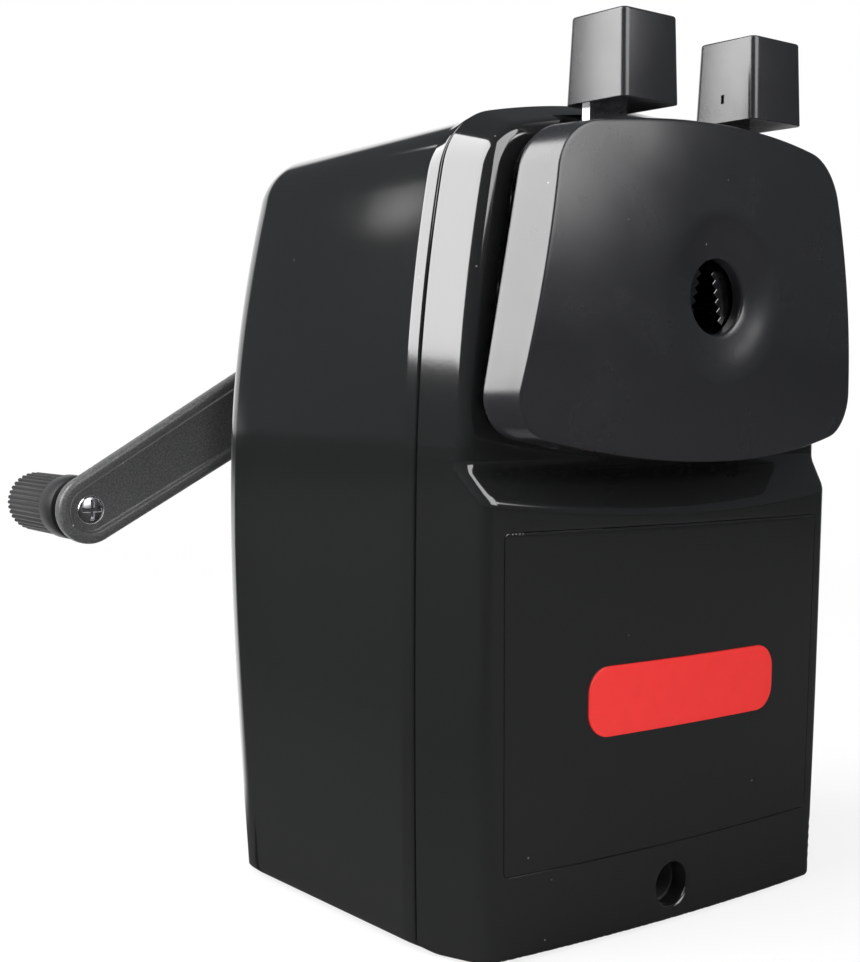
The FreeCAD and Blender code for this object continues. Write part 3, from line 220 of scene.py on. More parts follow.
def case_outline(side, top):
    """Case outline drawn in by side and top, from the right foot over the crown to the left foot."""
    low_c, low_r = (BELLY_HALF - LOWER_R, BELLY_Z), LOWER_R - side
    high_c, high_r = (BELLY_HALF - SHOULDER_R, BELLY_Z), SHOULDER_R - side
    crown_c, crown_r = (0.0, CROWN_Z - CROWN_R), CROWN_R - top
    corner_r = CORNER_R - (side + top) / 2
    corner_c = circles_meet(high_c, high_r - corner_r, crown_c, crown_r - corner_r)
    shoulder, crown = bearing(high_c, corner_c), bearing(crown_c, corner_c)
    foot_r = max(FOOT_R - side, 0.2)
    foot_z = CASE_BOTTOM + foot_r
    foot_c = (low_c[0] + math.sqrt((low_r - foot_r) ** 2 - (BELLY_Z - foot_z) ** 2), foot_z)
    foot = bearing(low_c, foot_c)
    right = np.concatenate([
        arc(foot_c, foot_r, -math.pi / 2, foot, FOOT_POINTS + 1)[:-1],
        arc(low_c, low_r, foot, 0, 44)[:-1],
        arc(high_c, high_r, 0, shoulder, 26)[:-1],
        arc(corner_c, corner_r, shoulder, crown, 18)[:-1],
        arc(crown_c, crown_r, crown, math.pi / 2, 26),
    ])
    return np.concatenate([right, right[-2::-1] * (-1, 1)])


def face_on_side(inset, centre, radius, way):
    """Where the faceplate's leaning right side, drawn in, meets a circle."""
    lean, half = math.tan(FACE_LEAN), FACE_HALF - inset / math.cos(FACE_LEAN)
    rise = centre[1] - AXIS_Z
    a, b = 1 + lean ** 2, -(lean * half + rise)
    c = half ** 2 + rise ** 2 - (radius - inset) ** 2
    t = (-b + way * math.sqrt(b * b - a * c)) / a
    return (half - lean * t, AXIS_Z + t)


def face_loop(inset):
    """Closed faceplate outline drawn in by inset."""
    top_c, low_c = (0.0, FACE_TOP - FACE_TOP_R), (0.0, FACE_BOTTOM + FACE_BOTTOM_R)
    high = face_on_side(FACE_TOP_CORNER, top_c, FACE_TOP_R, 1)
    low = face_on_side(FACE_BOTTOM_CORNER, low_c, FACE_BOTTOM_R, -1)
    top_turn, low_turn = bearing(top_c, high), bearing(low_c, low)
    low_arc = arc(low, FACE_BOTTOM_CORNER - inset, low_turn, FACE_LEAN, 16)
    top_arc = arc(high, FACE_TOP_CORNER - inset, FACE_LEAN, top_turn, 16)
    side = np.linspace(low_arc[-1], top_arc[0], 18)[1:-1]
    right = np.concatenate([
        arc(low_c, FACE_BOTTOM_R - inset, -math.pi / 2, low_turn, 22)[:-1], low_arc, side, top_arc,
        arc(top_c, FACE_TOP_R - inset, top_turn, math.pi / 2, 22)[1:],
    ])
    return np.concatenate([right, right[-2:0:-1] * (-1, 1)])


def drawer_loop(grow, radius):
    """Closed drawer-front outline grown all round, with small round corners."""
    low, high, half = DRAWER_LOW - grow, DRAWER_HIGH + grow, DRAWER_HALF + grow
    loop = rounded_rectangle(-half, half, low, high, radius)
    loop[:, 0] += np.sign(loop[:, 0]) * DRAWER_WIDENING * (loop[:, 1] - low) / (high - low)
    return dense(loop, 0.6)


def arm_loop(shrink):
    """Closed crank-arm outline drawn in by shrink."""
    hub_r, end_r = CRANK_HUB_R - shrink, CRANK_END_R - shrink
    lean = math.asin((hub_r - end_r) / CRANK_LENGTH)
    quarter = math.pi / 2
    tip = arc((CRANK_LENGTH, 0), end_r, lean - quarter, quarter - lean, 40)
    hub = arc((0, 0), hub_r, quarter - lean, 3 * quarter + lean, 48)
    hub_side = np.linspace(tip[-1], hub[0], 14)[1:-1]
    loop = np.concatenate([tip, hub_side, hub, hub_side[::-1] * (1, -1)])
    turn = math.pi + CRANK_TURN
    x = loop[:, 0] * math.cos(turn) - loop[:, 1] * math.sin(turn)
    z = loop[:, 0] * math.sin(turn) + loop[:, 1] * math.cos(turn)
    return np.stack([x, z + AXIS_Z], axis=1)


def inside(loop, points):
    """Which points lie within a closed loop."""
    x, z = points[:, :1], points[:, 1:]
    x0, z0 = loop[:, 0], loop[:, 1]
    x1, z1 = np.roll(x0, -1), np.roll(z0, -1)
    rise = np.where(z1 == z0, 1.0, z1 - z0)
    crossed = ((z0 > z) != (z1 > z)) & (x < x0 + (z - z0) * (x1 - x0) / rise)
    return np.count_nonzero(crossed, axis=1) % 2 == 1


def between(outer, holes, points):
    """Which points lie within one closed loop and outside others."""
    kept = inside(outer, points)
    for hole in holes:
        kept &= ~inside(hole, points)
    return kept


def distance(path, points, closed=True):
    """How far points lie from a line of points."""
    start, end = (path, np.roll(path, -1, axis=0)) if closed else (path[:-1], path[1:])
    run = end - start
    to = points[:, None, :] - start[None]
    share = np.clip((to * run).sum(-1) / np.maximum((run ** 2).sum(-1), 1e-12), 0, 1)
    return np.linalg.norm(to - share[..., None] * run, axis=-1).min(axis=1)


def blend_max(a, b, soft):
    """The larger of two heights, with a rounded change over."""
    near = np.maximum(soft - np.abs(a - b), 0) / soft
    return np.maximum(a, b) + near ** 2 * soft / 4


def blend_min(a, b, soft):
    """The smaller of two heights, with a rounded change over."""
    return -blend_max(-np.asarray(a), -np.asarray(b), soft)


def roll(gap, radius):
    """How far a rounded edge falls away at a distance from it."""
    left = np.clip(radius - gap, 0, radius)
    return radius - np.sqrt(radius ** 2 - left ** 2)


def quarter_round(radius, count=8):
    """Steps round an edge: how far each has dropped, and how far it is from the other side."""
    turns = np.linspace(0, math.pi / 2, count)
    return [(radius * (1 - math.cos(t)), radius * (1 - math.sin(t))) for t in turns]


# Meshes

class Shell:
    """Points and faces of one piece, in drawing millimetres."""

    def __init__(self):
        self.points = []
        self.faces = []

    def add(self, points, faces):
        base = len(self.points)
        self.points.extend(map(tuple, points))
        self.faces.extend(tuple(base + i for i in face) for face in faces)

    def rows(self, rows, closed=True, caps=(False, False)):
        """Quads between rows of points, each row a loop if closed."""
        rows = np.asarray(rows, float)
        count, width = rows.shape[:2]
        faces = []
        for i in range(count - 1):
            for j in range(width if closed else width - 1):
                k = (j + 1) % width
                faces.append((i * width + j, i * width + k, (i + 1) * width + k, (i + 1) * width + j))
        if caps[0]:
            faces.append(tuple(range(width)))
        if caps[1]:
            faces.append(tuple(range((count - 1) * width, count * width)))
        self.add(rows.reshape(-1, 3), faces)

    def sheet(self, outer, holes, extra, depth):
        """Face inside one loop and outside others, at a depth or at depths worked out from its points."""
        points, edges = [], []
        for loop in [outer, *holes]:
            base, count = len(points), len(loop)
            points.extend(loop)
            edges.extend((base + i, base + (i + 1) % count) for i in range(count))
        points.extend(extra)
        flat = [Vector((float(x), float(z))) for x, z in points]
        found = delaunay_2d_cdt(flat, edges, [], 0, 1e-5)
        at = np.array([tuple(p) for p in found[0]])
        faces = np.array([tuple(f) for f in found[2]])
        kept = between(outer, holes, at[faces].mean(axis=1))
        self.add(lift(at, depth(at) if callable(depth) else depth), faces[kept].tolist())

    def turned(self, profile, x, z, count=48):
        """Rings about a front-to-back line, from (radius, depth) pairs."""
        self.rows([lift(ring((x, z), r, count), y) for r, y in profile])

    def wall(self, loop, first, last):
        """Straight wall between two depths along a loop."""
        self.rows([lift(loop, first), lift(loop, last)])


def lift(loop, depth):
    """Front-view points at a depth, as points in space."""
    return np.stack([loop[:, 0], np.broadcast_to(depth, len(loop)), loop[:, 1]], axis=1)


def level(plan, height):
    """Points seen from above at a height, as points in space."""
    return np.stack([plan[:, 0], plan[:, 1], np.full(len(plan), height)], axis=1)


def lattice(xs, zs):
    """All points of a grid."""
    x, z = np.meshgrid(xs, zs)
    return np.stack([x.ravel(), z.ravel()], axis=1)


def to_frame(points):
    """Drawing millimetres to metres in the shared frame."""
    return (np.asarray(points, float).reshape(-1, 3) + (0, -CASE_DEPTH / 2, PAD_PROUD)) * MM


def place_of(x, y, z):
    """One place in the shared frame."""
    return tuple(to_frame([(x, y, z)])[0])


def settle(mesh, angle):
    """Smooth shading with crisp edges above an angle."""
    mesh.polygons.foreach_set("use_smooth", [True] * len(mesh.polygons))
    mesh.set_sharp_from_angle(angle=math.radians(angle))
    mesh.update()


def placed(name, data):
    """New object in the scene."""
    made = bpy.data.objects.new(name, data)
    bpy.context.collection.objects.link(made)
    return made


def build(name, shell, material, angle=40):
    """Object of a shell, welded, with its faces turned outward."""
    mesh = bpy.data.meshes.new(name)
    mesh.from_pydata(to_frame(shell.points).tolist(), [], shell.faces)
    work = bmesh.new()
    work.from_mesh(mesh)
    bmesh.ops.remove_doubles(work, verts=work.verts, dist=2e-6)
    bmesh.ops.dissolve_degenerate(work, edges=work.edges, dist=1e-7)
    bmesh.ops.recalc_face_normals(work, faces=work.faces)
    work.to_mesh(mesh)
    work.free()
    mesh.materials.append(material)
    settle(mesh, angle)
    return placed(name, mesh)


def baked(made, angle=40):
    """Object whose modifiers have become its own mesh."""
    graph = bpy.context.evaluated_depsgraph_get()
    mesh = bpy.data.meshes.new_from_object(made.evaluated_get(graph))
    made.modifiers.clear()
    made.data = mesh
    settle(mesh, angle)
    return made


def cut(made, *blocks):
    """Object with boxes, given by two corners each, taken out of it."""
    shell = Shell()
    for low, high in blocks:
        loop = np.array([(low[0], low[2]), (high[0], low[2]), (high[0], high[2]), (low[0], high[2])])
        shell.rows([lift(loop, low[1]), lift(loop, high[1])], caps=(True, True))
    tool = build(made.name + "_tool", shell, made.data.materials[0])
    change = made.modifiers.new("cut", "BOOLEAN")
    change.object = tool
    baked(made)
    bpy.data.objects.remove(tool)
    return made


def bevelled(made, width):
    """Object with all its edges rounded."""
    change = made.modifiers.new("round", "BEVEL")
    change.width = width * MM
    change.segments = 6
    return baked(made, 60)


def fit(made, body, slot, *nodes):
    """Puts a piece on its body in place of CAD nodes."""
    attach(made, body)
    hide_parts(*nodes)


# Materials

def feed(tree, socket, value):
    """Links a socket to an output or a node's first output, or sets it to a value."""
    if isinstance(value, bpy.types.Node):
        value = value.outputs[0]
    if isinstance(value, bpy.types.NodeSocket):
        tree.links.new(value, socket)
    else:
        socket.default_value = value


def step(tree, kind, inputs=None, **settings):
    """Adds a node with its settings, feeds its inputs and returns it."""
    node = tree.nodes.new(kind)
    for key, value in settings.items():
        setattr(node, key, value)
    for key, value in (inputs or {}).items():
        feed(tree, node.inputs[key], value)
    return node


class Look:
    """One material and the nodes that make it."""

    def __init__(self, name, colour, roughness, metallic=0.0):
        self.material = bpy.data.materials.new(name)
        self.material.use_nodes = True
        self.tree = self.material.node_tree
        self.shader = self.tree.nodes["Principled BSDF"]
        self.set("Base Color", (*colour, 1))
        self.set("Roughness", roughness)
        self.set("Metallic", metallic)
        self.place = self.step("TexCoord").outputs["Object"]

    def step(self, kind, inputs=None, **settings):
        return step(self.tree, "ShaderNode" + kind, inputs, **settings)

    def set(self, socket, value):
        """Sets or links a socket of the shader."""
        feed(self.tree, self.shader.inputs[socket], value)

    def stretched(self, x, y, z):
        """Object coordinates scaled along each axis."""
        return self.step("Mapping", {"Vector": self.place, "Scale": (x, y, z)}).outputs["Vector"]

    def noise(self, scale, detail=3.0, place=None):
        inputs = {"Vector": place or self.place, "Scale": scale, "Detail": detail}
        return self.step("TexNoise", inputs).outputs["Fac"]

    def spread(self, value, low, high, first, last):
        """Value mapped from one range to another and held at the ends."""
        inputs = {"Value": value, "From Min": low, "From Max": high, "To Min": first, "To Max": last}
        return self.step("MapRange", inputs).outputs["Result"]

    def mix(self, share, first, last):
        """Colour between two colours."""
        ends = [c if isinstance(c, bpy.types.NodeSocket) else (*c, 1) for c in (first, last)]
        inputs = {"Factor": share, 6: ends[0], 7: ends[1]}
        return self.step("Mix", inputs, data_type="RGBA").outputs[2]

    def sum(self, operation, first, last):
        """One step of arithmetic."""
        return self.step("Math", {0: first, 1: last}, operation=operation).outputs["Value"]

    def part(self, axis):
        """One object coordinate."""
        return self.step("SeparateXYZ", {"Vector": self.place}).outputs[axis]

    def specks(self, scale, size, share):
        """Sparse round spots, at most one in each cell of a scattered pattern."""
        cells = self.step("TexVoronoi", {"Vector": self.place, "Scale": scale}).outputs
        pick = self.step("SeparateColor", {0: cells["Color"]})
        spot = self.spread(cells["Distance"], size / 2, size, 1, 0)
        return self.sum("MULTIPLY", spot, self.sum("LESS_THAN", pick, share))

    def bump(self, height, depth, under=None):
        """Relief of a height, in metres, on top of another relief."""
        inputs = {"Height": height, "Distance": depth, "Strength": 1.0}
        if under:
            inputs["Normal"] = under
        normal = self.step("Bump", inputs).outputs["Normal"]
        self.set("Normal", normal)
        return normal


def gloss_black():
    """High-gloss moulded shell with faint waviness, fine grain, smears and dust."""
    black, dust = (0.0105, 0.011, 0.011), (0.15, 0.15, 0.15)
    look = Look("gloss_black", black, 0.1)
    smear = look.noise(55, 5, look.stretched(1, 1, 0.45))
    look.set("Roughness", look.spread(smear, 0.35, 0.75, 0.07, 0.13))
    look.set("Base Color", look.mix(look.specks(260, 0.045, 0.3), black, dust))
    wave = look.bump(look.noise(70, 1), 0.00005)
    look.bump(look.noise(2300, 2), 0.0000024, under=wave)
    look.set("IOR", 1.55)
    look.set("Coat Weight", 1.0)
    look.set("Coat Roughness", 0.08)
    return look.material


def satin_black(name="satin_black", colour=(0.014, 0.0145, 0.016), roughness=0.24, bend=1.7):
    """Finely grained satin moulding."""
    look = Look(name, colour, roughness)
    patch = look.noise(90, 4)
    look.set("Roughness", look.spread(patch, 0.3, 0.7, roughness - 0.03, roughness + 0.05))
    lighter = tuple(c * 1.25 for c in colour)
    tone = look.mix(look.spread(look.noise(1500, 3), 0.4, 0.7, 0, 1), colour, lighter)
    look.set("Base Color", look.mix(look.specks(240, 0.05, 0.2), tone, (0.2, 0.2, 0.2)))
    grain = look.bump(look.noise(5200, 2), 0.0000025)
    look.bump(look.noise(60, 1), 0.00003, under=grain)
    look.set("IOR", bend)
    return look.material


def crank_grey():
    """Dark grey cast arm with a speckled satin coat and pale dust."""
    look = Look("crank_grey", (0.05, 0.052, 0.053), 0.4)
    speck = look.spread(look.noise(3200, 3), 0.35, 0.7, 0, 1)
    tone = look.mix(speck, (0.04, 0.042, 0.042), (0.1, 0.102, 0.1))
    look.set("Base Color", look.mix(look.specks(420, 0.09, 0.16), tone, (0.4, 0.4, 0.4)))
    look.set("Roughness", look.spread(look.noise(1200, 3), 0.3, 0.7, 0.3, 0.45))
    look.bump(look.noise(2600, 3), 0.00002)
    return look.material


def label_red():
    """Printed gloss label."""
    look = Look("label_red", (0.74, 0.028, 0.025), 0.28)
    tone = look.spread(look.noise(400, 4), 0.3, 0.7, 0, 1)
    look.set("Base Color", look.mix(tone, (0.725, 0.026, 0.024), (0.755, 0.03, 0.027)))
    look.bump(look.noise(1800, 2), 0.000004)
    return look.material


def metal(name, colour, roughness, scale=(400, 400, 400), depth=0.000004, dark=0.7):
    """Metal with the fine marks of its finish."""
    look = Look(name, colour, roughness, 1.0)
    marks = look.noise(1.0, 4, look.stretched(*scale))
    shade = tuple(c * dark for c in colour)
    look.set("Base Color", look.mix(look.spread(marks, 0.3, 0.7, 0, 1), shade, colour))
    look.set("Roughness", look.spread(marks, 0.3, 0.7, roughness - 0.06, roughness + 0.1))
    look.bump(marks, depth)
    return look.material


def pad_rubber():
    """Matte rubber with a fine tooth."""
    look = Look("pad_rubber", (0.03, 0.03, 0.03), 0.8)
    look.set("Base Color", look.mix(look.noise(2000, 4), (0.02, 0.02, 0.02), (0.05, 0.05, 0.05)))
    look.bump(look.noise(3500, 3), 0.00005)
    return look.material


def gear_nylon():
    """Off-white moulded nylon."""
    look = Look("gear_nylon", (0.75, 0.74, 0.7), 0.4)
    look.set("Base Color", look.mix(look.noise(500, 3), (0.7, 0.69, 0.64), (0.78, 0.77, 0.73)))
    look.set("Subsurface Weight", 0.15)
    look.set("Subsurface Scale", 0.001)
    look.bump(look.noise(2500, 2), 0.000006)
    return look.material


GLOSS = gloss_black()
SATIN = satin_black()
GRIP = satin_black("grip_black", (0.014, 0.0145, 0.015), 0.4, 1.28)
BASE = satin_black("base_black", (0.03, 0.03, 0.03), 0.5, 1.45)
CRANK = crank_grey()
LABEL = label_red()
JAW = metal("jaw_steel", (0.2, 0.2, 0.2), 0.14, (2500, 2500, 2500), 0.000003, 0.5)
PLATED = metal("plated_steel", (0.66, 0.66, 0.68), 0.24)
SPRING = metal("spring_steel", (0.55, 0.55, 0.57), 0.28, (900, 900, 900))
TOOL = metal("tool_steel", (0.42, 0.42, 0.44), 0.3, (300, 2500, 300))
ALLOY = metal("cast_alloy", (0.56, 0.56, 0.57), 0.42, (1500, 1500, 1500), 0.00002)
BRASS = metal("bearing_brass", (0.72, 0.52, 0.24), 0.28, (300, 4000, 300))
RUBBER = pad_rubber()
NYLON = gear_nylon()
LOOKS = {
    "base_black": BASE, "pad_rubber": RUBBER, "gear_nylon": NYLON, "cast_alloy": ALLOY,
    "bearing_brass": BRASS, "tool_steel": TOOL, "spring_steel": SPRING, "plated_steel": PLATED,
    "gloss_black": GLOSS, "satin_black": SATIN, "crank_grey": CRANK, "grip_black": GRIP, "label_red": LABEL,
}
for part in frame["record"]["subparts"]:
    node = frame["nodes"][part["node"]]
    node.data.materials.clear()
    node.data.materials.append(JAW if part["node"].endswith("_jaw") else LOOKS[part["material_slot"]])


# Rear housing

def housing_side(y):
    """Flare of the housing's sides just behind the seam."""
    out = FLARE * (y - SEAM_Y) / (FLARE_Y - SEAM_Y)
    return -blend_min(out, FLARE, 0.06)


def housing_top(y):
    """Fall of the housing's top behind the seam."""
    lead = TOP_LEAD * (y - SEAM_Y) / (FLARE_Y - SEAM_Y)
    return blend_min(lead, TOP_LEAD + TOP_SLOPE * (y - FLARE_Y), 0.1)


def housing_rows():
    """Outer and inner outlines of the housing from the seam to the edge of its flat back."""
    outer, inner = [], []
    groove = np.sort(np.concatenate([GROOVE_BACK, GROOVE_BETWEEN]) + SEAM_Y)
    for y in np.concatenate([groove] + [np.arange(*run) for run in OUTLINE_RUNS]):
        fall = np.interp(y - SEAM_Y, GROOVE_BACK, GROOVE_IN)
        outer.append(lift(case_outline(housing_side(y) + fall, housing_top(y) + fall), y))
        inner.append(lift(case_outline(WALL, WALL + TOP_DROP), y))
    for turn in np.linspace(0, math.pi / 2, 18):
        drawn, back = 1 - math.cos(turn), math.sin(turn)
        wide, tight = [lift(case_outline(r * drawn - FLARE, r * drawn + housing_top(CASE_DEPTH - r)),
                            CASE_DEPTH - r + r * back) for r in (BACK_R, BACK_TIGHT)]
        height = np.minimum(wide[:, 2:], TIGHT_HIGH) - TIGHT_LOW
        share = np.sin(math.pi * height / (TIGHT_HIGH - TIGHT_LOW))
        outer.append(wide + (tight - wide) * share)
        inset = (BACK_R - WALL) * drawn
        y = INNER_BACK - (BACK_R - WALL) * (1 - back)
        inner.append(lift(case_outline(WALL + inset, WALL + TOP_DROP + inset), y))
    return outer, inner


def rear_housing():
    shell = Shell()
    outer, inner = housing_rows()
    shell.rows(outer, closed=False)
    shell.rows(inner, closed=False)
    shell.rows([outer[0], inner[0]], closed=False)
    for column in (0, -1):
        shell.rows([[row[column] for row in outer], [row[column] for row in inner]], closed=False)
    shell.add([outer[-1][0], outer[-1][-1], inner[-1][-1], inner[-1][0]], [(0, 1, 2, 3)])
    recess, hole, lip, foot, brim, chamfer = 2.85, 1.5, 0.25, 0.8, 0.5, 0.3
    outer_face = (outer, BOSS_R + foot, recess + lip, CASE_DEPTH)
    for rows, boss_r, well_r, y in (outer_face, (inner, BOSS_R, hole, INNER_BACK)):
        holes = [ring((0, AXIS_Z), boss_r, 64)] + [ring(place, well_r, 48) for place in SCREW_PLACES]
        shell.sheet(rows[-1][:, ::2], holes, [], y)
    fillet = [(BOSS_R + left, CASE_DEPTH + drop) for drop, left in quarter_round(foot)]
    top = [(BOSS_R - drop, BOSS_BACK - left) for drop, left in quarter_round(brim)]
    bore = [(BORE_R + chamfer, BOSS_BACK), (BORE_R, BOSS_BACK - chamfer), (BORE_R, BOSS_FRONT)]
    shell.turned(fillet + top + bore + [(BOSS_R, BOSS_FRONT), (BOSS_R, INNER_BACK)], 0, AXIS_Z, 64)
    seat = CASE_DEPTH - 1.3
    well = [(recess + lip, CASE_DEPTH), (recess + 0.08, CASE_DEPTH - 0.08), (recess, CASE_DEPTH - lip)]
    well += [(recess, seat), (hole, seat), (hole, INNER_BACK)]
    for x, z in SCREW_PLACES:
        shell.turned(well, x, z, 48)
    fit(build("rear_housing_shell", shell, GLOSS), "case", "gloss_black", "rear_housing")


# Front frame

OUTLINE = case_outline(0, 0)
UPRIGHT = OUTLINE[FOOT_POINTS:-FOOT_POINTS]
SIDES = np.concatenate([[2 * UPRIGHT[0] - UPRIGHT[4]], UPRIGHT, [2 * UPRIGHT[-1] - UPRIGHT[-5]]])
POCKET_INSET = 0.6
POCKET = dense(face_loop(POCKET_INSET), 0.6)
MOUTH = drawer_loop(MOUTH_GAP, MOUTH_R)
CLAMP = ring((0, CLAMP_Z), CLAMP_R, 48)


def bow_depth(at):
    """Depth of the case's bowed lower face."""
    return BOW_R - np.sqrt(BOW_R ** 2 - at[:, 0] ** 2)


def front_depth(at):
    """Depth of the case front: angled border, bowed lower face, sloped ledge and set-back upper face."""
    x, z = at[:, 0], at[:, 1]
    border = distance(SIDES, at, closed=False)
    strip = SEAM_Y - border / STRIP_SLOPE
    soft = 0.7
    ledge = blend_min((z - LEDGE_Z) * SETBACK / LEDGE_RISE, SETBACK, soft)
    face = blend_max(bow_depth(at), ledge, soft)
    over = (strip - face) * STRIP_SLOPE
    rounded = face + EDGE_R - np.sqrt(np.maximum(EDGE_R ** 2 - (EDGE_IN + over) ** 2, 0))
    face = np.where((over > -EDGE_IN) & (over < EDGE_OUT), rounded, np.maximum(strip, face))
    notched = (np.abs(x) <= NOTCH_X + 1e-4) & (z > PIVOT_Z)
    face = np.where(notched, np.maximum(face, POCKET_Y), face)
    pocket_r, mouth_r, clamp_r, foot_r = 0.2, 0.14, 0.6, 0.7
    face = face + roll(distance(POCKET, at), pocket_r) * ~notched
    face = face + roll(distance(MOUTH, at), mouth_r) + roll(distance(CLAMP, at), clamp_r)
    return face + roll(z - CASE_BOTTOM, foot_r)


def thinned(points, gap):
    """Points with at most one in each cell of a grid."""
    cells = np.round(points / gap).astype(int)
    first = np.unique(cells, axis=0, return_index=True)[1]
    return points[np.sort(first)]


def front_frame():
    shell = Shell()
    flat = np.linspace(OUTLINE[-1], OUTLINE[0], 60)[1:-1]
    outer = np.concatenate([OUTLINE, flat])
    foot = FOOT_POINTS + 1
    bottom = np.concatenate([OUTLINE[-foot:], flat, OUTLINE[:foot]])
    holes = [POCKET, MOUTH, CLAMP]
    insets = np.concatenate([(0.1, 0.35, 0.7, 1.2), np.arange(1.7, 7.5, 0.26)])
    field = [case_outline(d, d) for d in insets]
    ledge_ends = np.arange(32.0, 43.2, 0.32)
    field += [lattice(np.concatenate([-ledge_ends, ledge_ends]), np.arange(63.0, 76.0, 0.26))]
    field += [lattice(np.linspace(-31.5, 31.5, 43), np.arange(63.4, 74.6, 0.22))]
    field += [lattice(np.linspace(-38, 38, 58), (0.6, 2.0, 3.5, 5.0, 6.5, 8.0, 9.5))]
    field = thinned(np.concatenate(field), 0.2)
    clear = np.min([distance(loop, field) for loop in holes], axis=0) > 0.6
    extra = [field[clear & (field[:, 1] > CASE_BOTTOM + 1.4)]]
    extra += [dense(face_loop(POCKET_INSET - d), 0.6) for d in (0.06, 0.14, 0.25, 0.4, 0.6)]
    extra += [drawer_loop(MOUTH_GAP + d, MOUTH_R + d) for d in (0.04, 0.11, 0.21, 0.35, 0.6)]
    extra += [ring((0, CLAMP_Z), CLAMP_R + d, 48) for d in (0.08, 0.2, 0.38, 0.6, 0.9)]
    rims = CASE_BOTTOM + np.array((0.05, 0.14, 0.28, 0.46, 0.7, 1.1))
    extra += [lattice(np.linspace(-38, 38, 77), rims)]
    sides = [s * (NOTCH_X + d) for s in (-1, 1) for d in (0, 0.12)]
    extra += [lattice(sides, np.arange(117.4, 127, 0.2))]
    extra = np.concatenate(extra)
    extra = extra[between(outer, holes, extra)]

    def back_depth(at):
        return np.minimum(front_depth(at) + FRONT_WALL, SEAM_Y)

    shell.sheet(outer, holes, extra, front_depth)
    shell.sheet(outer, holes, extra, back_depth)
    shell.rows([lift(bottom, front_depth(bottom)), lift(bottom, back_depth(bottom))], closed=False)
    for loop in (MOUTH, CLAMP):
        shell.wall(loop, front_depth(loop), back_depth(loop))
    floor_holes = [ring((0, AXIS_Z), SHAFT_HOLE_R, 72)]
    floor_holes += [ring((s * ROD_X, AXIS_Z), ROD_HOLE_R, 32) for s in (-1, 1)]
    for depth, y in ((front_depth, POCKET_Y), (back_depth, UPPER_BACK)):
        shell.wall(POCKET, depth(POCKET), y)
        shell.sheet(POCKET, floor_holes, [], y)
    for loop in floor_holes:
        shell.wall(loop, POCKET_Y, UPPER_BACK)
    fit(build("front_frame_shell", shell, GLOSS), "case", "gloss_black", "front_frame")


# Faceplate

def face_depth(at):
    """Depth of the domed faceplate with its round dimple."""
    far = at[:, 0] ** 2 + (at[:, 1] - AXIS_Z) ** 2
    dome = DOME_R - FACE_CROWN - np.sqrt(DOME_R ** 2 - far)
    bowl = DIMPLE_DEPTH - FACE_CROWN - BOWL_R + np.sqrt(np.maximum(BOWL_R ** 2 - far, 0))
    return blend_max(dome, bowl, 0.95)


def skin_depth(at):
    """Depth of the faceplate's inner face, clear of the jaws."""
    return np.maximum(face_depth(at) + 1.6, RIM_BACK)


def hole_loop(loop, radius):
    """Circle about the pencil hole with a point towards each point of a loop."""
    away = loop - (0, AXIS_Z)
    return away / np.linalg.norm(away, axis=1)[:, None] * radius + (0, AXIS_Z)


def faceplate():
    shell = Shell()
    edge, rim = 0.4, 0.6
    rows = [lift(hole_loop(face_loop(0), HOLE_R), RIM_BACK)]
    for d in (0, 0.03, 0.1, 0.22, 0.38, rim):
        loop = hole_loop(face_loop(0), HOLE_R + d)
        rows.append(lift(loop, face_depth(loop) + roll(d, rim)))
    first, last = hole_loop(face_loop(0), HOLE_R + rim), face_loop(2.0)
    for share in np.linspace(0, 1, 44)[1:-1]:
        loop = first + (last - first) * share
        rows.append(lift(loop, face_depth(loop)))
    for d in (2.0, 1.3, 0.8, edge, 0.26, 0.15, 0.07, 0.02, 0.0):
        loop = face_loop(d)
        rows.append(lift(loop, face_depth(loop) + roll(d, edge)))
    outer, inner = face_loop(0), face_loop(2.2)
    brow = rows[-1][:, 1]
    for share, inset in ((0.15, 0), (0.5, 0), (0.85, 0), (0.96, 0), (0.988, 0.09), (1.0, 0.3)):
        flared = face_loop(inset) * (1 + FACE_FLARE * share, 1)
        rows.append(lift(flared, brow + (FACE_BACK - brow) * share))
    rows += [lift(inner, FACE_BACK), lift(inner, skin_depth(inner))]
    last = hole_loop(outer, HOLE_R)
    for share in np.linspace(0, 1, 16)[1:]:
        loop = inner + (last - inner) * share
        rows.append(lift(loop, skin_depth(loop)))
    shell.rows(rows)
    fit(build("faceplate_shell", shell, SATIN), "carriage", "satin_black", "faceplate")


# Drawer and label

def drawer():
    shell = Shell()
    edge, grow, corner, front_back = 0.14, 0.25, 0.9, 3.0
    loop = drawer_loop(grow, corner)
    rings = [drawer_loop(grow - d, corner) for d in (0.02, 0.06, 0.12, edge, 0.6, 1.2, 2.0)]
    grid = lattice(np.linspace(-33, 33, 34), np.arange(14, 62, 4.0))

    def depth(at):
        return bow_depth(at) + roll(distance(loop, at), edge)

    shell.sheet(loop, [], np.concatenate(rings + [grid]), depth)
    shell.sheet(loop, [], [], front_back)
    shell.wall(loop, depth(loop), front_back)
    half, bin_front, bin_back = 33.1, 2.6, 57.0
    outside = [(-0.6, 1.9, 12.35), (0, 2.5, 12.95), (0, 2.5, 56.1), (-0.3, 2.2, 56.4)]
    lining = [(-1.5, 1.0, 56.4), (-1.8, 0.7, 56.1), (-1.8, 0.7, 14.9), (-2.6, 0.6, 14.15)]
    rows = []
    for out, radius, z in outside + lining:
        plan = rounded_rectangle(-half - out, half + out, bin_front - out, bin_back + out, radius)
        rows.append(level(plan, z))
    shell.rows(rows, caps=(True, True))
    fit(build("shavings_drawer_shell", shell, GLOSS), "drawer", "gloss_black", "shavings_drawer")


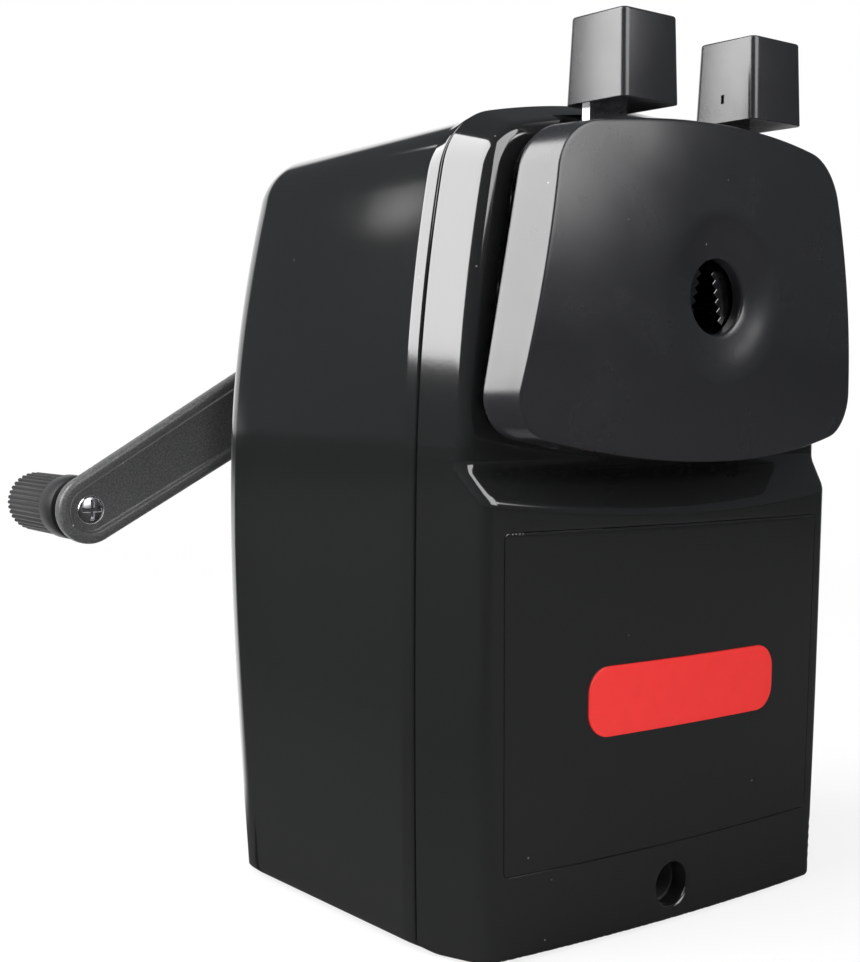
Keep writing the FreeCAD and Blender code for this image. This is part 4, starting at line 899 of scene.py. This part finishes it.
def label():
    shell = Shell()
    edge = 0.12

    def outline(inset):
        sides = (LABEL_LEFT + inset, LABEL_RIGHT - inset, LABEL_LOW + inset, LABEL_HIGH - inset)
        return dense(rounded_rectangle(*sides, LABEL_R - inset, 12))

    loop = outline(0)

    def depth(at):
        return bow_depth(at) - LABEL_THICK + roll(distance(loop, at), edge)

    def back(at):
        return bow_depth(at) + 0.01

    grid = lattice(np.linspace(-17, 22, 40), np.arange(32.3, 41, 2.0))
    grid = grid[inside(outline(0.6), grid)]
    rings = [outline(d) for d in (0.03, 0.07, edge, 0.3)]
    shell.sheet(loop, [], np.concatenate(rings + [grid]), depth)
    shell.sheet(loop, [], grid, back)
    shell.wall(loop, depth(loop), back(loop))
    fit(build("drawer_label_print", shell, LABEL), "drawer", "label_red", "drawer_label")


# Push caps

def push_cap(name, side, body):
    """Tapered square cap with round upright edges and a finely rounded top, the right one with a slit."""
    edge, foot_edge = 0.4, 0.1
    width, width_draft, depth, depth_draft = 6.05, 0.25, 6.35, 0.55

    def plan(z, inset):
        share = (z - CAP_LOW) / (CAP_HIGH - CAP_LOW)
        half, deep = width - width_draft * share - inset, depth - depth_draft * share - inset
        square = rounded_rectangle(-half, half, -deep, deep, CAP_R - inset)
        return level(square + (side * CAP_X, CAP_Y), z)

    rows = [plan(CAP_LOW, foot_edge), plan(CAP_LOW + foot_edge, 0)]
    rows += [plan(CAP_HIGH - left, drop) for drop, left in quarter_round(edge, 7)]
    shell = Shell()
    shell.rows(rows + [plan(CAP_HIGH, 2 * edge)], caps=(True, True))
    made = build(name + "_block", shell, SATIN)
    if side > 0:
        cut(made, CAP_SLIT)
    fit(made, body, "satin_black", name)


def jaw(name, side, body):
    """Toothed steel block behind the pencil hole, with its edges worn round."""
    outer, foot, height, teeth, depth, gap = 7.3, 94.5, 8.6, 6, 0.9, 1.9
    front, back, worn = -4.0, 3.7, 0.16
    pitch = height / teeth
    lean = math.tan(math.radians(14.0))

    def tip(z):
        return gap + (AXIS_Z - z) * lean

    loop = [(outer, foot)]
    for k in range(teeth):
        root, crest = foot + pitch * k, foot + pitch * (k + 0.5)
        loop += [(tip(root) + depth, root), (tip(crest), crest)]
    loop += [(tip(foot + height) + depth, foot + height), (outer, foot + height)]
    shell = Shell()
    shell.rows([lift(np.array(loop) * (side, 1), y) for y in (front, back)], caps=(True, True))
    fit(bevelled(build(name + "_block", shell, JAW), worn), body, "plated_steel", name)


# Crank and knob

def crank_arm():
    shell = Shell()
    front, back = 0.9, 0.6
    dish = [(2.5, 0.6), (2.25, 0.55), (2.0, 0.3), (1.85, 0.08), (1.65, 0)]
    rows = [lift(arm_loop(inset), CRANK_Y + sunk) for inset, sunk in dish]
    rows += [lift(arm_loop(left), CRANK_Y + drop) for drop, left in quarter_round(front)]
    rows += [lift(arm_loop(drop), CRANK_BACK - left) for drop, left in quarter_round(back)]
    shell.rows(rows, caps=(True, True))
    bore_r, hub_r, hub_front, hub_back = 2.9, 6.5, 72.85, CRANK_Y + 1.5
    hub = [(bore_r, hub_front), (hub_r - 0.4, hub_front), (hub_r - 0.12, hub_front + 0.12)]
    hub += [(hub_r, hub_front + 0.4), (hub_r, hub_back), (bore_r, hub_back), (bore_r, hub_front)]
    shell.turned(hub, 0, AXIS_Z, 56)
    fit(build("crank_arm_casting", shell, CRANK), "crank", "crank_grey", "crank_arm")


def group(name, **inputs):
    """Empty node tree with inputs, given as a string of names for each kind, and its two ends."""
    tree = bpy.data.node_groups.new(name, "GeometryNodeTree")
    tree.interface.new_socket("Geometry", in_out="INPUT", socket_type="NodeSocketGeometry")
    for kind, titles in {**inputs, "Material": "Material"}.items():
        for title in titles.split():
            tree.interface.new_socket(title, in_out="INPUT", socket_type="NodeSocket" + kind)
    tree.interface.new_socket("Geometry", in_out="OUTPUT", socket_type="NodeSocketGeometry")
    return tree, tree.nodes.new("NodeGroupInput").outputs, tree.nodes.new("NodeGroupOutput").inputs


def close(tree, geometry, given, end):
    """Ends a tree with realised instances and its material."""
    real = step(tree, "GeometryNodeRealizeInstances", {"Geometry": geometry})
    shown = step(tree, "GeometryNodeSetMaterial", {"Geometry": real, "Material": given["Material"]})
    feed(tree, end[0], shown)
    return tree


def rod(tree, sides, radius, length):
    """Plain cylinder."""
    return step(tree, "GeometryNodeMeshCylinder", {
        "Vertices": sides, "Side Segments": 1, "Fill Segments": 1, "Radius": radius, "Depth": length})


def moved(tree, geometry, **way):
    """Geometry shifted, turned or scaled."""
    return step(tree, "GeometryNodeTransform", {"Geometry": geometry, **way})


def joined(tree, *parts):
    """Several geometries as one."""
    whole = step(tree, "GeometryNodeJoinGeometry")
    for part in parts:
        feed(tree, whole.inputs[0], part)
    return whole


def coil_tree():
    tree, given, end = group("coil", Float="Radius Length Turns Wire", Vector="Turn Place")
    path = step(tree, "GeometryNodeCurveSpiral", {
        "Resolution": 28, "Rotations": given["Turns"], "Start Radius": given["Radius"],
        "End Radius": given["Radius"], "Height": given["Length"]})
    wire = step(tree, "GeometryNodeCurvePrimitiveCircle", {"Resolution": 12, "Radius": given["Wire"]})
    tube = step(tree, "GeometryNodeCurveToMesh", {"Curve": path, "Profile Curve": wire, "Fill Caps": True})
    put = moved(tree, tube, Translation=given["Place"], Rotation=given["Turn"])
    return close(tree, put, given, end)


def ribs_tree():
    tree, given, end = group("ribs", Int="Count", Float="Circle Rib Length Pitch Lean", Vector="Turn Place")
    circle = step(tree, "GeometryNodeMeshCircle", {"Vertices": given["Count"], "Radius": given["Circle"]})
    index = step(tree, "GeometryNodeInputIndex")
    around = step(tree, "ShaderNodeMath", {0: index, 1: given["Pitch"]}, operation="MULTIPLY")
    leaning = step(tree, "ShaderNodeCombineXYZ", {"Y": given["Lean"], "Z": around})
    rib = rod(tree, 16, given["Rib"], given["Length"])
    set_out = step(tree, "GeometryNodeInstanceOnPoints", {
        "Points": circle, "Instance": rib, "Rotation": leaning})
    put = moved(tree, set_out, Translation=given["Place"], Rotation=given["Turn"])
    return close(tree, joined(tree, given["Geometry"], put), given, end)


def screw_tree():
    tree, given, end = group("cross_screw", Float="Head Height Shank Length",
                             Vector="Slot Slot_Across Lift Sink Turn")
    flat = step(tree, "ShaderNodeMath", {0: given["Height"], 1: given["Head"]}, operation="DIVIDE")
    squash = step(tree, "ShaderNodeCombineXYZ", {"X": 1.0, "Y": 1.0, "Z": flat})
    ball = step(tree, "GeometryNodeMeshUVSphere", {"Segments": 48, "Rings": 24, "Radius": given["Head"]})
    head = moved(tree, ball, Scale=squash)
    shank = moved(tree, rod(tree, 24, given["Shank"], given["Length"]), Translation=given["Sink"])
    slotted = step(tree, "GeometryNodeMeshBoolean", {"Mesh 1": head}, operation="DIFFERENCE")
    for size in ("Slot", "Slot_Across"):
        bar = step(tree, "GeometryNodeMeshCube", {"Size": given[size]})
        feed(tree, slotted.inputs["Mesh 2"], moved(tree, bar, Translation=given["Lift"]))
    put = step(tree, "GeometryNodeInstanceOnPoints", {
        "Points": given["Geometry"], "Instance": joined(tree, slotted, shank), "Rotation": given["Turn"]})
    return close(tree, put, given, end)


def grown(made, tree, angle=40, **values):
    """Object whose mesh has become what a node tree makes of it."""
    change = made.modifiers.new(tree.name, "NODES")
    change.node_group = tree
    for socket in tree.interface.items_tree:
        if socket.in_out == "INPUT" and socket.name in values:
            change[socket.identifier] = values[socket.name]
    return baked(made, angle)


def points_object(name, places):
    """Object that is only points, given in drawing millimetres."""
    mesh = bpy.data.meshes.new(name)
    mesh.from_pydata(to_frame(places).tolist(), [], [])
    return placed(name, mesh)


COIL = coil_tree()
RIBS = ribs_tree()
SCREW = screw_tree()
FACING_BACK = (-math.pi / 2, 0.0, 0.0)
FACING_FRONT = (math.pi / 2, 0.0, 0.0)
FACING_RIGHT = (0.0, math.pi / 2, 0.0)


def crank_knob():
    shell = Shell()
    front, tip, rib, recess = 5.0, 4.9, 0.36, 3.0
    profile = [(PIN_HOLE_R, KNOB_FRONT), (NECK_R - 0.2, KNOB_FRONT), (NECK_R, KNOB_FRONT + 0.2)]
    profile += [(NECK_R, COLLAR_FRONT), (COLLAR_R - 0.3, COLLAR_FRONT)]
    profile += [(COLLAR_R - 0.09, COLLAR_FRONT + 0.09), (COLLAR_R, COLLAR_FRONT + 0.3)]
    profile += [(COLLAR_R, GRIP_FRONT - 0.3), (COLLAR_R - 0.09, GRIP_FRONT - 0.09)]
    profile += [(COLLAR_R - 0.3, GRIP_FRONT), (front, GRIP_FRONT)]
    profile += [(tip, KNOB_BACK - 0.3), (tip - 0.1, KNOB_BACK - 0.08), (tip - 0.3, KNOB_BACK)]
    profile += [(recess, KNOB_BACK), (recess, KNOB_BACK - 1.0), (PIN_HOLE_R, KNOB_BACK - 1.0)]
    shell.turned(profile + profile[:1], KNOB_X, KNOB_Z, 56)
    made = build("crank_knob_grip", shell, GRIP)
    length, count = KNOB_BACK - GRIP_FRONT, 34
    middle = place_of(KNOB_X, GRIP_FRONT + length / 2 - 0.1, KNOB_Z)
    grown(made, RIBS, Count=count, Circle=(front + tip) / 2 * MM, Rib=rib * MM, Length=(length - 0.3) * MM,
          Pitch=2 * math.pi / count, Lean=-math.atan((front - tip) / length), Turn=FACING_BACK,
          Place=middle, Material=GRIP)
    fit(made, "knob", "grip_black", "crank_knob")


def knob_rivet():
    """Peened end of the knob's pin."""
    shell = Shell()
    brim, top = KNOB_BACK - 0.8, KNOB_BACK - 0.05
    dome = [(0.02, brim), (2.8, brim), (2.75, KNOB_BACK - 0.45), (2.4, KNOB_BACK - 0.2)]
    shell.turned(dome + [(1.6, top), (0.02, top)], KNOB_X, KNOB_Z, 40)
    fit(build("knob_pin_rivet", shell, PLATED), "crank", "plated_steel", "knob_screw")


def screws(name, body, node, places, head, height, shank, length, slot, turn):
    """Cross-slot screws whose heads stand on places."""
    half, reach, depth = [size * 2 * MM for size in slot]
    made = points_object(name, places)
    grown(made, SCREW, 30, Head=head * MM, Height=height * MM, Shank=shank * MM, Length=length * MM,
          Slot=(half, reach, depth), Slot_Across=(reach, half, depth), Lift=(0.0, 0.0, height * MM),
          Sink=(0.0, 0.0, (0.05 - length / 2) * MM), Turn=turn, Material=PLATED)
    fit(made, body, "plated_steel", node)


def coil(name, radius, length, turns, wire, turn, start):
    """Wound spring that runs from a place."""
    made = points_object(name, [])
    return grown(made, COIL, Radius=radius * MM, Length=length * MM, Turns=turns, Wire=wire * MM, Turn=turn,
                 Place=place_of(*start), Material=SPRING)


def springs():
    seat_y, first_y = 17.4, 17.75
    for side, x in (("left", -ROD_X), ("right", ROD_X)):
        made = coil(side + "_return_coil", 3.0, 39.0, 12.0, 0.35, FACING_BACK, (x, first_y, AXIS_Z))
        place_of(x, seat_y, AXIS_Z)
        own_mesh(made)
        fit(made, "case", "spring_steel", side + "_return_spring")
    half, y, z = 10.15, 4.5, 121.0
    made = coil("jaw_coil", 1.1, 2 * half, 11.0, 0.25, FACING_RIGHT, (-half, y, z))
    place_of(0, y, z)
    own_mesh(made)
    fit(made, "carriage", "spring_steel", "jaw_spring")


rear_housing()
front_frame()
faceplate()
drawer()
label()
push_cap("left_lever_cap", -1, "left_grip")
push_cap("right_lever_cap", 1, "right_grip")
jaw("left_jaw", -1, "left_grip")
jaw("right_jaw", 1, "right_grip")
crank_arm()
crank_knob()
knob_rivet()
screws("housing_cross_screws", "case", "housing_screws", [(x, 67.7, z) for x, z in SCREW_PLACES],
       head=2.6, height=1.3, shank=1.25, length=9.0, slot=(0.35, 1.5, 0.7), turn=FACING_BACK)
screws("knob_cross_screw", "crank", "knob_screw", [(KNOB_X, CRANK_Y + 0.6, KNOB_Z)],
       head=2.45, height=0.85, shank=1.6, length=22.0, slot=(0.36, 1.8, 0.7), turn=FACING_FRONT)
springs()


# Floor, light and camera

def floor():
    """Pale floor: white to the camera with the object's shadow on it, dim in the gloss."""
    reach = 4.0
    corners = [(-reach, -reach, 0), (reach, -reach, 0), (reach, reach, 0), (-reach, reach, 0)]
    mesh = bpy.data.meshes.new("floor")
    mesh.from_pydata(corners, [], [(0, 1, 2, 3)])
    look = Look("floor", (0.82, 0.82, 0.82), 0.9)
    rays = look.step("LightPath").outputs
    pale = look.mix(look.noise(40, 3), (0.80, 0.80, 0.80), (0.84, 0.84, 0.84))
    # Mirrored in the gloss, it is pale only behind the object, to the right of a slanted line
    behind = look.spread(look.part("Y"), 0.05, 0.08, 0, 1)
    slant = look.sum("ADD", look.part("X"), look.sum("MULTIPLY", look.part("Y"), 0.5))
    rear = look.sum("MULTIPLY", behind, look.spread(slant, -0.02, 0.02, 0, 1))
    rightward = look.spread(look.part("X"), -0.15, 0.0, 0, 1)
    dim = look.mix(rightward, (0.018, 0.018, 0.018), (0.06, 0.06, 0.06))
    mirrored = look.mix(rear, dim, pale)
    look.set("Base Color", look.mix(rays["Is Glossy Ray"], pale, mirrored))
    look.set("Specular IOR Level", 0.0)
    # Seen by the camera, it turns to plain white away from the object
    away = look.step("VectorMath", {0: look.place}, operation="LENGTH")
    share = look.spread(away.outputs["Value"], 0.1, 0.6, 0.8, 1.0)
    seen = look.sum("MAXIMUM", rays["Is Camera Ray"], rays["Is Transmission Ray"])
    lit = look.sum("MULTIPLY", seen, share)
    mixed = look.step("MixShader", {"Fac": lit, 1: look.shader, 2: look.step("Emission")})
    feed(look.tree, look.tree.nodes["Material Output"].inputs["Surface"], mixed)
    mesh.materials.append(look.material)
    placed("floor", mesh)


def softbox(name, place, aim, width, height, power):
    """Soft rectangular lamp at a place, turned to what it aims at."""
    lamp = bpy.data.lights.new(name, "AREA")
    lamp.shape = "RECTANGLE"
    lamp.size, lamp.size_y, lamp.energy = width, height, power
    made = placed(name, lamp)
    made.location = place
    made.rotation_euler = (Vector(aim) - Vector(place)).to_track_quat("-Z", "Y").to_euler()
    made.visible_camera = False
    return made


def soft_card(name, place, aim, reach, strength):
    """Glowing oval card, brightest in the middle, seen only in reflections."""
    away = (Vector(aim) - Vector(place)).normalized()
    across = away.cross(Vector((0, 0, 1))).normalized()
    rise = across.cross(away)
    rings, count = 10, 40
    points, faces, glow = [Vector(place)], [], [1.0]
    for k in range(1, rings + 1):
        for x, z in ring((0, 0), k / rings, count):
            points.append(Vector(place) + across * (x * reach[0]) + rise * (z * reach[1]))
            glow.append((1 - (k / rings) ** 2) ** 2)
    for j in range(count):
        faces.append((0, 1 + j, 1 + (j + 1) % count))
    for k in range(rings - 1):
        base = 1 + k * count
        for j in range(count):
            i = (j + 1) % count
            faces.append((base + j, base + count + j, base + count + i, base + i))
    mesh = bpy.data.meshes.new(name)
    mesh.from_pydata([tuple(p) for p in points], [], faces)
    mesh.attributes.new("glow", "FLOAT", "POINT").data.foreach_set("value", glow)
    look = Look(name, (0, 0, 0), 1.0)
    shade = look.step("Attribute", attribute_name="glow").outputs["Fac"]
    look.set("Emission Color", (1, 1, 1, 1))
    look.set("Emission Strength", look.sum("MULTIPLY", shade, strength))
    mesh.materials.append(look.material)
    made = placed(name, mesh)
    made.visible_camera = False
    made.visible_shadow = False


def backdrop():
    """White backdrop behind and below the object, dim studio elsewhere."""
    world = bpy.data.worlds.new("studio")
    world.use_nodes = True
    tree = world.node_tree
    dim = tree.nodes["Background"]
    dim.inputs["Color"].default_value = (0.056, 0.06, 0.064, 1)
    white = step(tree, "ShaderNodeBackground", {"Color": (1, 1, 1, 1)})
    rays = step(tree, "ShaderNodeLightPath").outputs
    way = step(tree, "ShaderNodeTexCoord").outputs["Generated"]
    middle, outer_edge, inner_edge = (0.317, 0.849, -0.423), 0.575, 0.635
    facing = step(tree, "ShaderNodeVectorMath", {0: way, 1: middle}, operation="DOT_PRODUCT")
    behind = step(tree, "ShaderNodeMapRange", {
        "Value": facing.outputs["Value"], "From Min": outer_edge, "From Max": inner_edge})

    def sum_of(operation, first, last):
        return step(tree, "ShaderNodeMath", {0: first, 1: last}, operation=operation)

    shine = sum_of("MULTIPLY", rays["Is Glossy Ray"], behind)
    seen = sum_of("MAXIMUM", rays["Is Camera Ray"], rays["Is Transmission Ray"])
    shown = sum_of("MAXIMUM", seen, shine)
    mixed = step(tree, "ShaderNodeMixShader", {"Fac": shown, 1: dim, 2: white})
    feed(tree, tree.nodes["World Output"].inputs["Surface"], mixed)
    bpy.context.scene.world = world


def camera():
    """Camera fitted to the photo: lengths in pixels, places in metres."""
    focal, long_side, middle_y, sensor = 1563.81, 962, 477.19, 36.0
    lens = bpy.data.cameras.new("photo_camera")
    lens.sensor_width = sensor
    lens.lens = focal * sensor / long_side
    lens.shift_y = (middle_y - long_side / 2) / long_side
    lens.clip_start = 0.01
    made = placed("photo_camera", lens)
    right = (0.78566546, -0.61847741, 0.01467903)
    up = (0.02538856, 0.05594097, 0.99811123)
    back = (-0.61813041, -0.78380884, 0.05965314)
    turn = Matrix((right, up, back)).transposed().to_4x4()
    made.matrix_world = Matrix.Translation((-0.18501, -0.20438, 0.08631)) @ turn
    bpy.context.scene.camera = made


# The glossy side wall doesn't mirror the crank
for name in ("crank_arm_casting", "crank_knob_grip", "knob_pin_rivet", "knob_cross_screw"):
    bpy.data.objects[name].visible_glossy = False

floor()
softbox("key_left", (-0.728, 0.257, 0.625), aim=(-0.04, -0.02, 0.1), width=0.93, height=1.0, power=21.3)
soft_card("edge_card", (-0.125, 0.691, 0.675), aim=(-0.038, -0.014, 0.122),
          reach=(0.045, 0.011), strength=3)
soft_card("side_card", (-0.524, 0.7, 0.374), aim=(-0.04, -0.01, 0.116),
          reach=(0.026, 0.056), strength=1.7)
soft_card("ledge_card", (0.328, -0.536, 0.389), aim=(-0.036, -0.0324, 0.0671),
          reach=(0.09, 0.085), strength=6.5)
softbox("front", (0.07, -0.75, 0.62), aim=(0, -0.03, 0.1), width=0.66, height=0.76, power=6.3)
top = softbox("top", (0.0, 0.0, 1.2), aim=(0, 0, 0), width=0.8, height=0.8, power=3)
top.visible_glossy = False
backdrop()
camera()
bpy.context.scene.view_settings.view_transform = "Standard"
